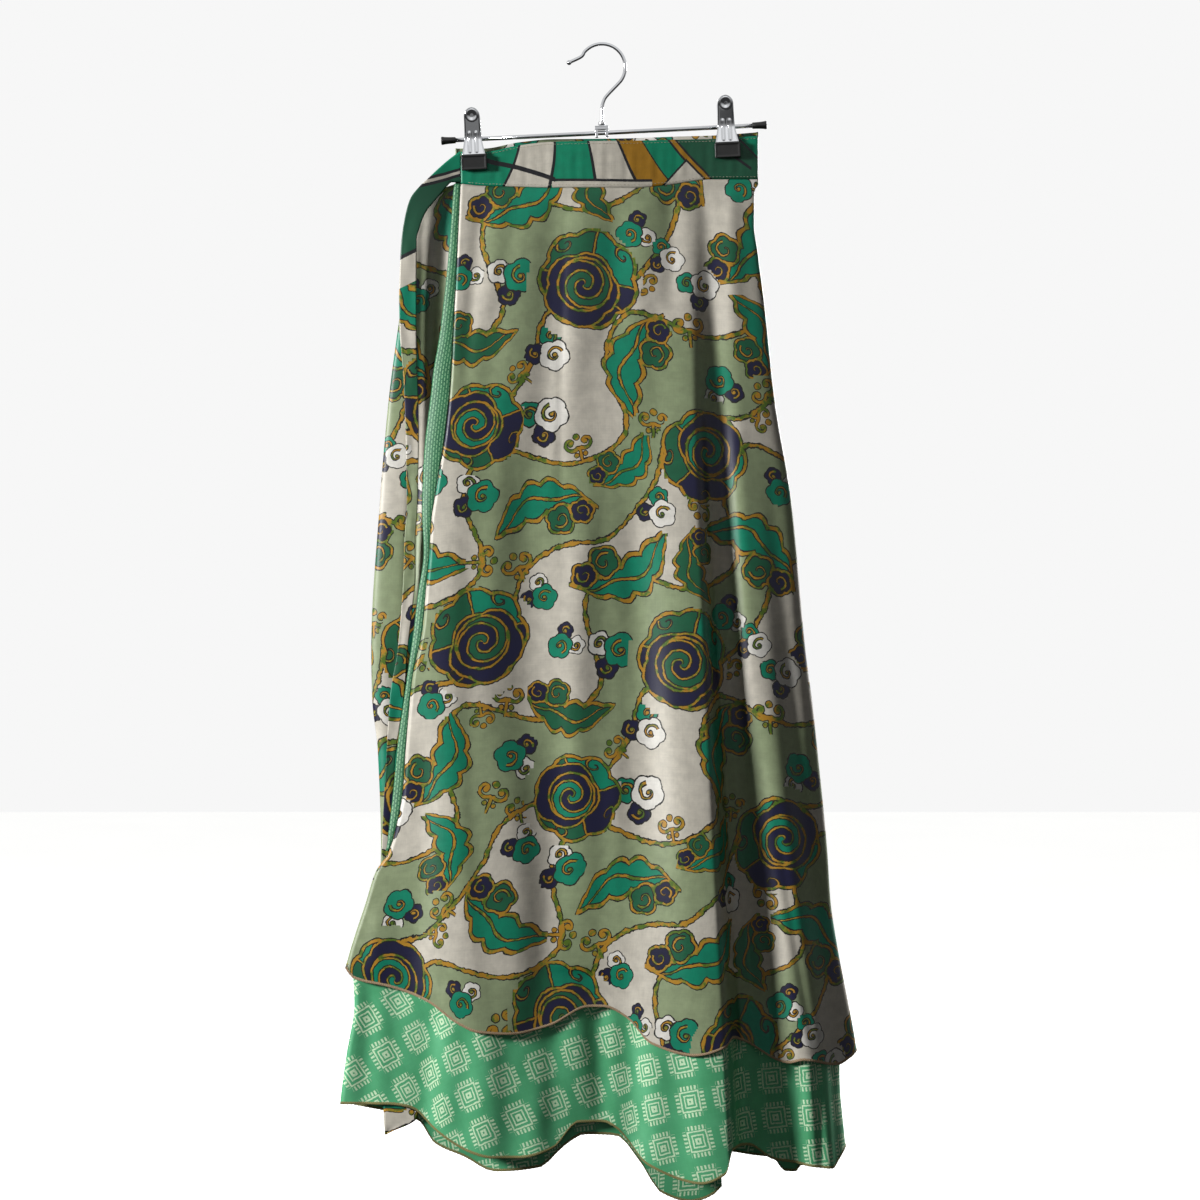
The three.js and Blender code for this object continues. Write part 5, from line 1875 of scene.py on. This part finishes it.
class SKIRT_OT_stage(bpy.types.Operator):
    """Make the floor, the lights, the surrounding and the camera"""

    bl_idname = "skirt.stage"
    bl_label = "Stage"

    def execute(self, context):
        settings = context.scene.skirt_stage
        self.floor(settings)
        for name, (place, size, part) in LIGHTS.items():
            self.area_light(context, name, place, size, settings.key * part, AIM)
        for name, (place, size, power) in CARDS.items():
            self.area_light(context, name, place, size, power, CARD_AIM).visible_diffuse = False
        self.surrounding(context)
        camera = bpy.data.cameras.new("camera")
        camera.lens = settings.lens
        camera.sensor_width = SENSOR
        holder = bpy.data.objects.new("camera", camera)
        distance = VIEW_WIDTH * settings.lens / SENSOR
        holder.location = VIEW_MIDDLE + Vector((0, -distance, 0))
        holder.rotation_euler = (math.pi / 2, 0, 0)
        context.scene.collection.objects.link(holder)
        context.scene.camera = holder
        context.scene.view_settings.view_transform = "Standard"
        return {"FINISHED"}

    def floor(self, settings):
        """A pale floor, which lights nothing and isn't mirrored."""
        shader = Shader("floor")
        place = shader.node("TexCoord", out="Object")
        grain = shader.node("TexNoise", {}, {"Vector": place, "Scale": 3.0, "Detail": 2.0})
        pale = tuple(settings.floor) + (1.0,)
        dim = tuple(c * 0.97 for c in settings.floor) + (1.0,)
        shown = shader.blend(grain, pale, dim)
        finish = shader.surface(
            Base_Color=shown, Roughness=0.9, Emission_Color=shown, Emission_Strength=FLOOR_GLOW
        )
        bm = bmesh.new()
        place = Matrix.Translation((0, 0, FLOOR_HEIGHT))
        bmesh.ops.create_grid(bm, x_segments=1, y_segments=1, size=FLOOR_REACH, matrix=place)
        piece = bpy.data.objects.new("floor", mesh_of(bm, "floor"))
        piece.data.materials.append(finish)
        bpy.context.scene.collection.objects.link(piece)
        piece.visible_diffuse = False
        piece.visible_glossy = False

    def area_light(self, context, name, place, size, power, aim):
        """A square light that isn't seen itself."""
        light = bpy.data.lights.new(name, "AREA")
        light.energy = power
        light.size = size
        holder = bpy.data.objects.new(name, light)
        holder.location = place
        holder.rotation_euler = (aim - Vector(place)).to_track_quat("-Z", "Y").to_euler()
        holder.visible_camera = False
        context.scene.collection.objects.link(holder)
        return holder

    def surrounding(self, context):
        """A surrounding that lights weakly, is seen pale, and is dark below and pale above in metal."""
        world = bpy.data.worlds.new("studio")
        world.use_nodes = True
        nodes, links = world.node_tree.nodes, world.node_tree.links
        background = nodes["Background"]
        background.inputs[0].default_value = (1, 1, 1, 1)
        ray, towards = nodes.new("ShaderNodeLightPath"), nodes.new("ShaderNodeTexCoord")
        split, upward = nodes.new("ShaderNodeSeparateXYZ"), nodes.new("ShaderNodeMapRange")
        links.new(towards.outputs["Generated"], split.inputs[0])
        links.new(split.outputs["Z"], upward.inputs["Value"])
        upward.inputs["From Min"].default_value = REFLECTED_FROM
        upward.inputs["From Max"].default_value = REFLECTED_TO
        upward.inputs["To Max"].default_value = REFLECTED
        seen, metal = nodes.new("ShaderNodeMath"), nodes.new("ShaderNodeMath")
        seen.operation = metal.operation = "MULTIPLY_ADD"
        links.new(ray.outputs["Is Camera Ray"], seen.inputs[0])
        seen.inputs[1].default_value = SEEN - SURROUNDING
        seen.inputs[2].default_value = SURROUNDING
        links.new(ray.outputs["Is Glossy Ray"], metal.inputs[0])
        links.new(upward.outputs[0], metal.inputs[1])
        links.new(seen.outputs[0], metal.inputs[2])
        links.new(metal.outputs[0], background.inputs[1])
        context.scene.world = world


# ---------------------------------------------------------------- add-on

STEPS = (
    SKIRT_OT_outer_layer,
    SKIRT_OT_under_layer,
    SKIRT_OT_waistband,
    SKIRT_OT_edge_facing,
    SKIRT_OT_ties,
    SKIRT_OT_hook,
    SKIRT_OT_bar,
    SKIRT_OT_clips,
    SKIRT_OT_stage,
)


class SKIRT_PT_pieces(bpy.types.Panel):
    """List of the pieces in the 3D view's sidebar"""

    bl_idname = "SKIRT_PT_pieces"
    bl_label = "Wrap skirt"
    bl_space_type = "VIEW_3D"
    bl_region_type = "UI"
    bl_category = "Wrap skirt"

    def draw(self, context):
        for step in STEPS:
            self.layout.operator(step.bl_idname)
        for group in (context.scene.skirt_cloth, context.scene.skirt_stage):
            for name in group.bl_rna.properties.keys():
                if name not in ("rna_type", "name"):
                    self.layout.prop(group, name)


CLASSES = (ClothSettings, StageSettings, *STEPS, SKIRT_PT_pieces)


def register():
    """Register the classes and their settings."""
    for item in CLASSES:
        bpy.utils.register_class(item)
    bpy.types.Scene.skirt_cloth = bpy.props.PointerProperty(type=ClothSettings)
    bpy.types.Scene.skirt_stage = bpy.props.PointerProperty(type=StageSettings)


def unregister():
    """Undo register."""
    del bpy.types.Scene.skirt_stage
    del bpy.types.Scene.skirt_cloth
    for item in reversed(CLASSES):
        bpy.utils.unregister_class(item)


def main():
    """Make every piece in order."""
    register()
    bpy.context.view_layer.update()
    for step in STEPS:
        space, name = step.bl_idname.split(".")
        getattr(getattr(bpy.ops, space), name)()


if __name__ == "__main__":
    main()
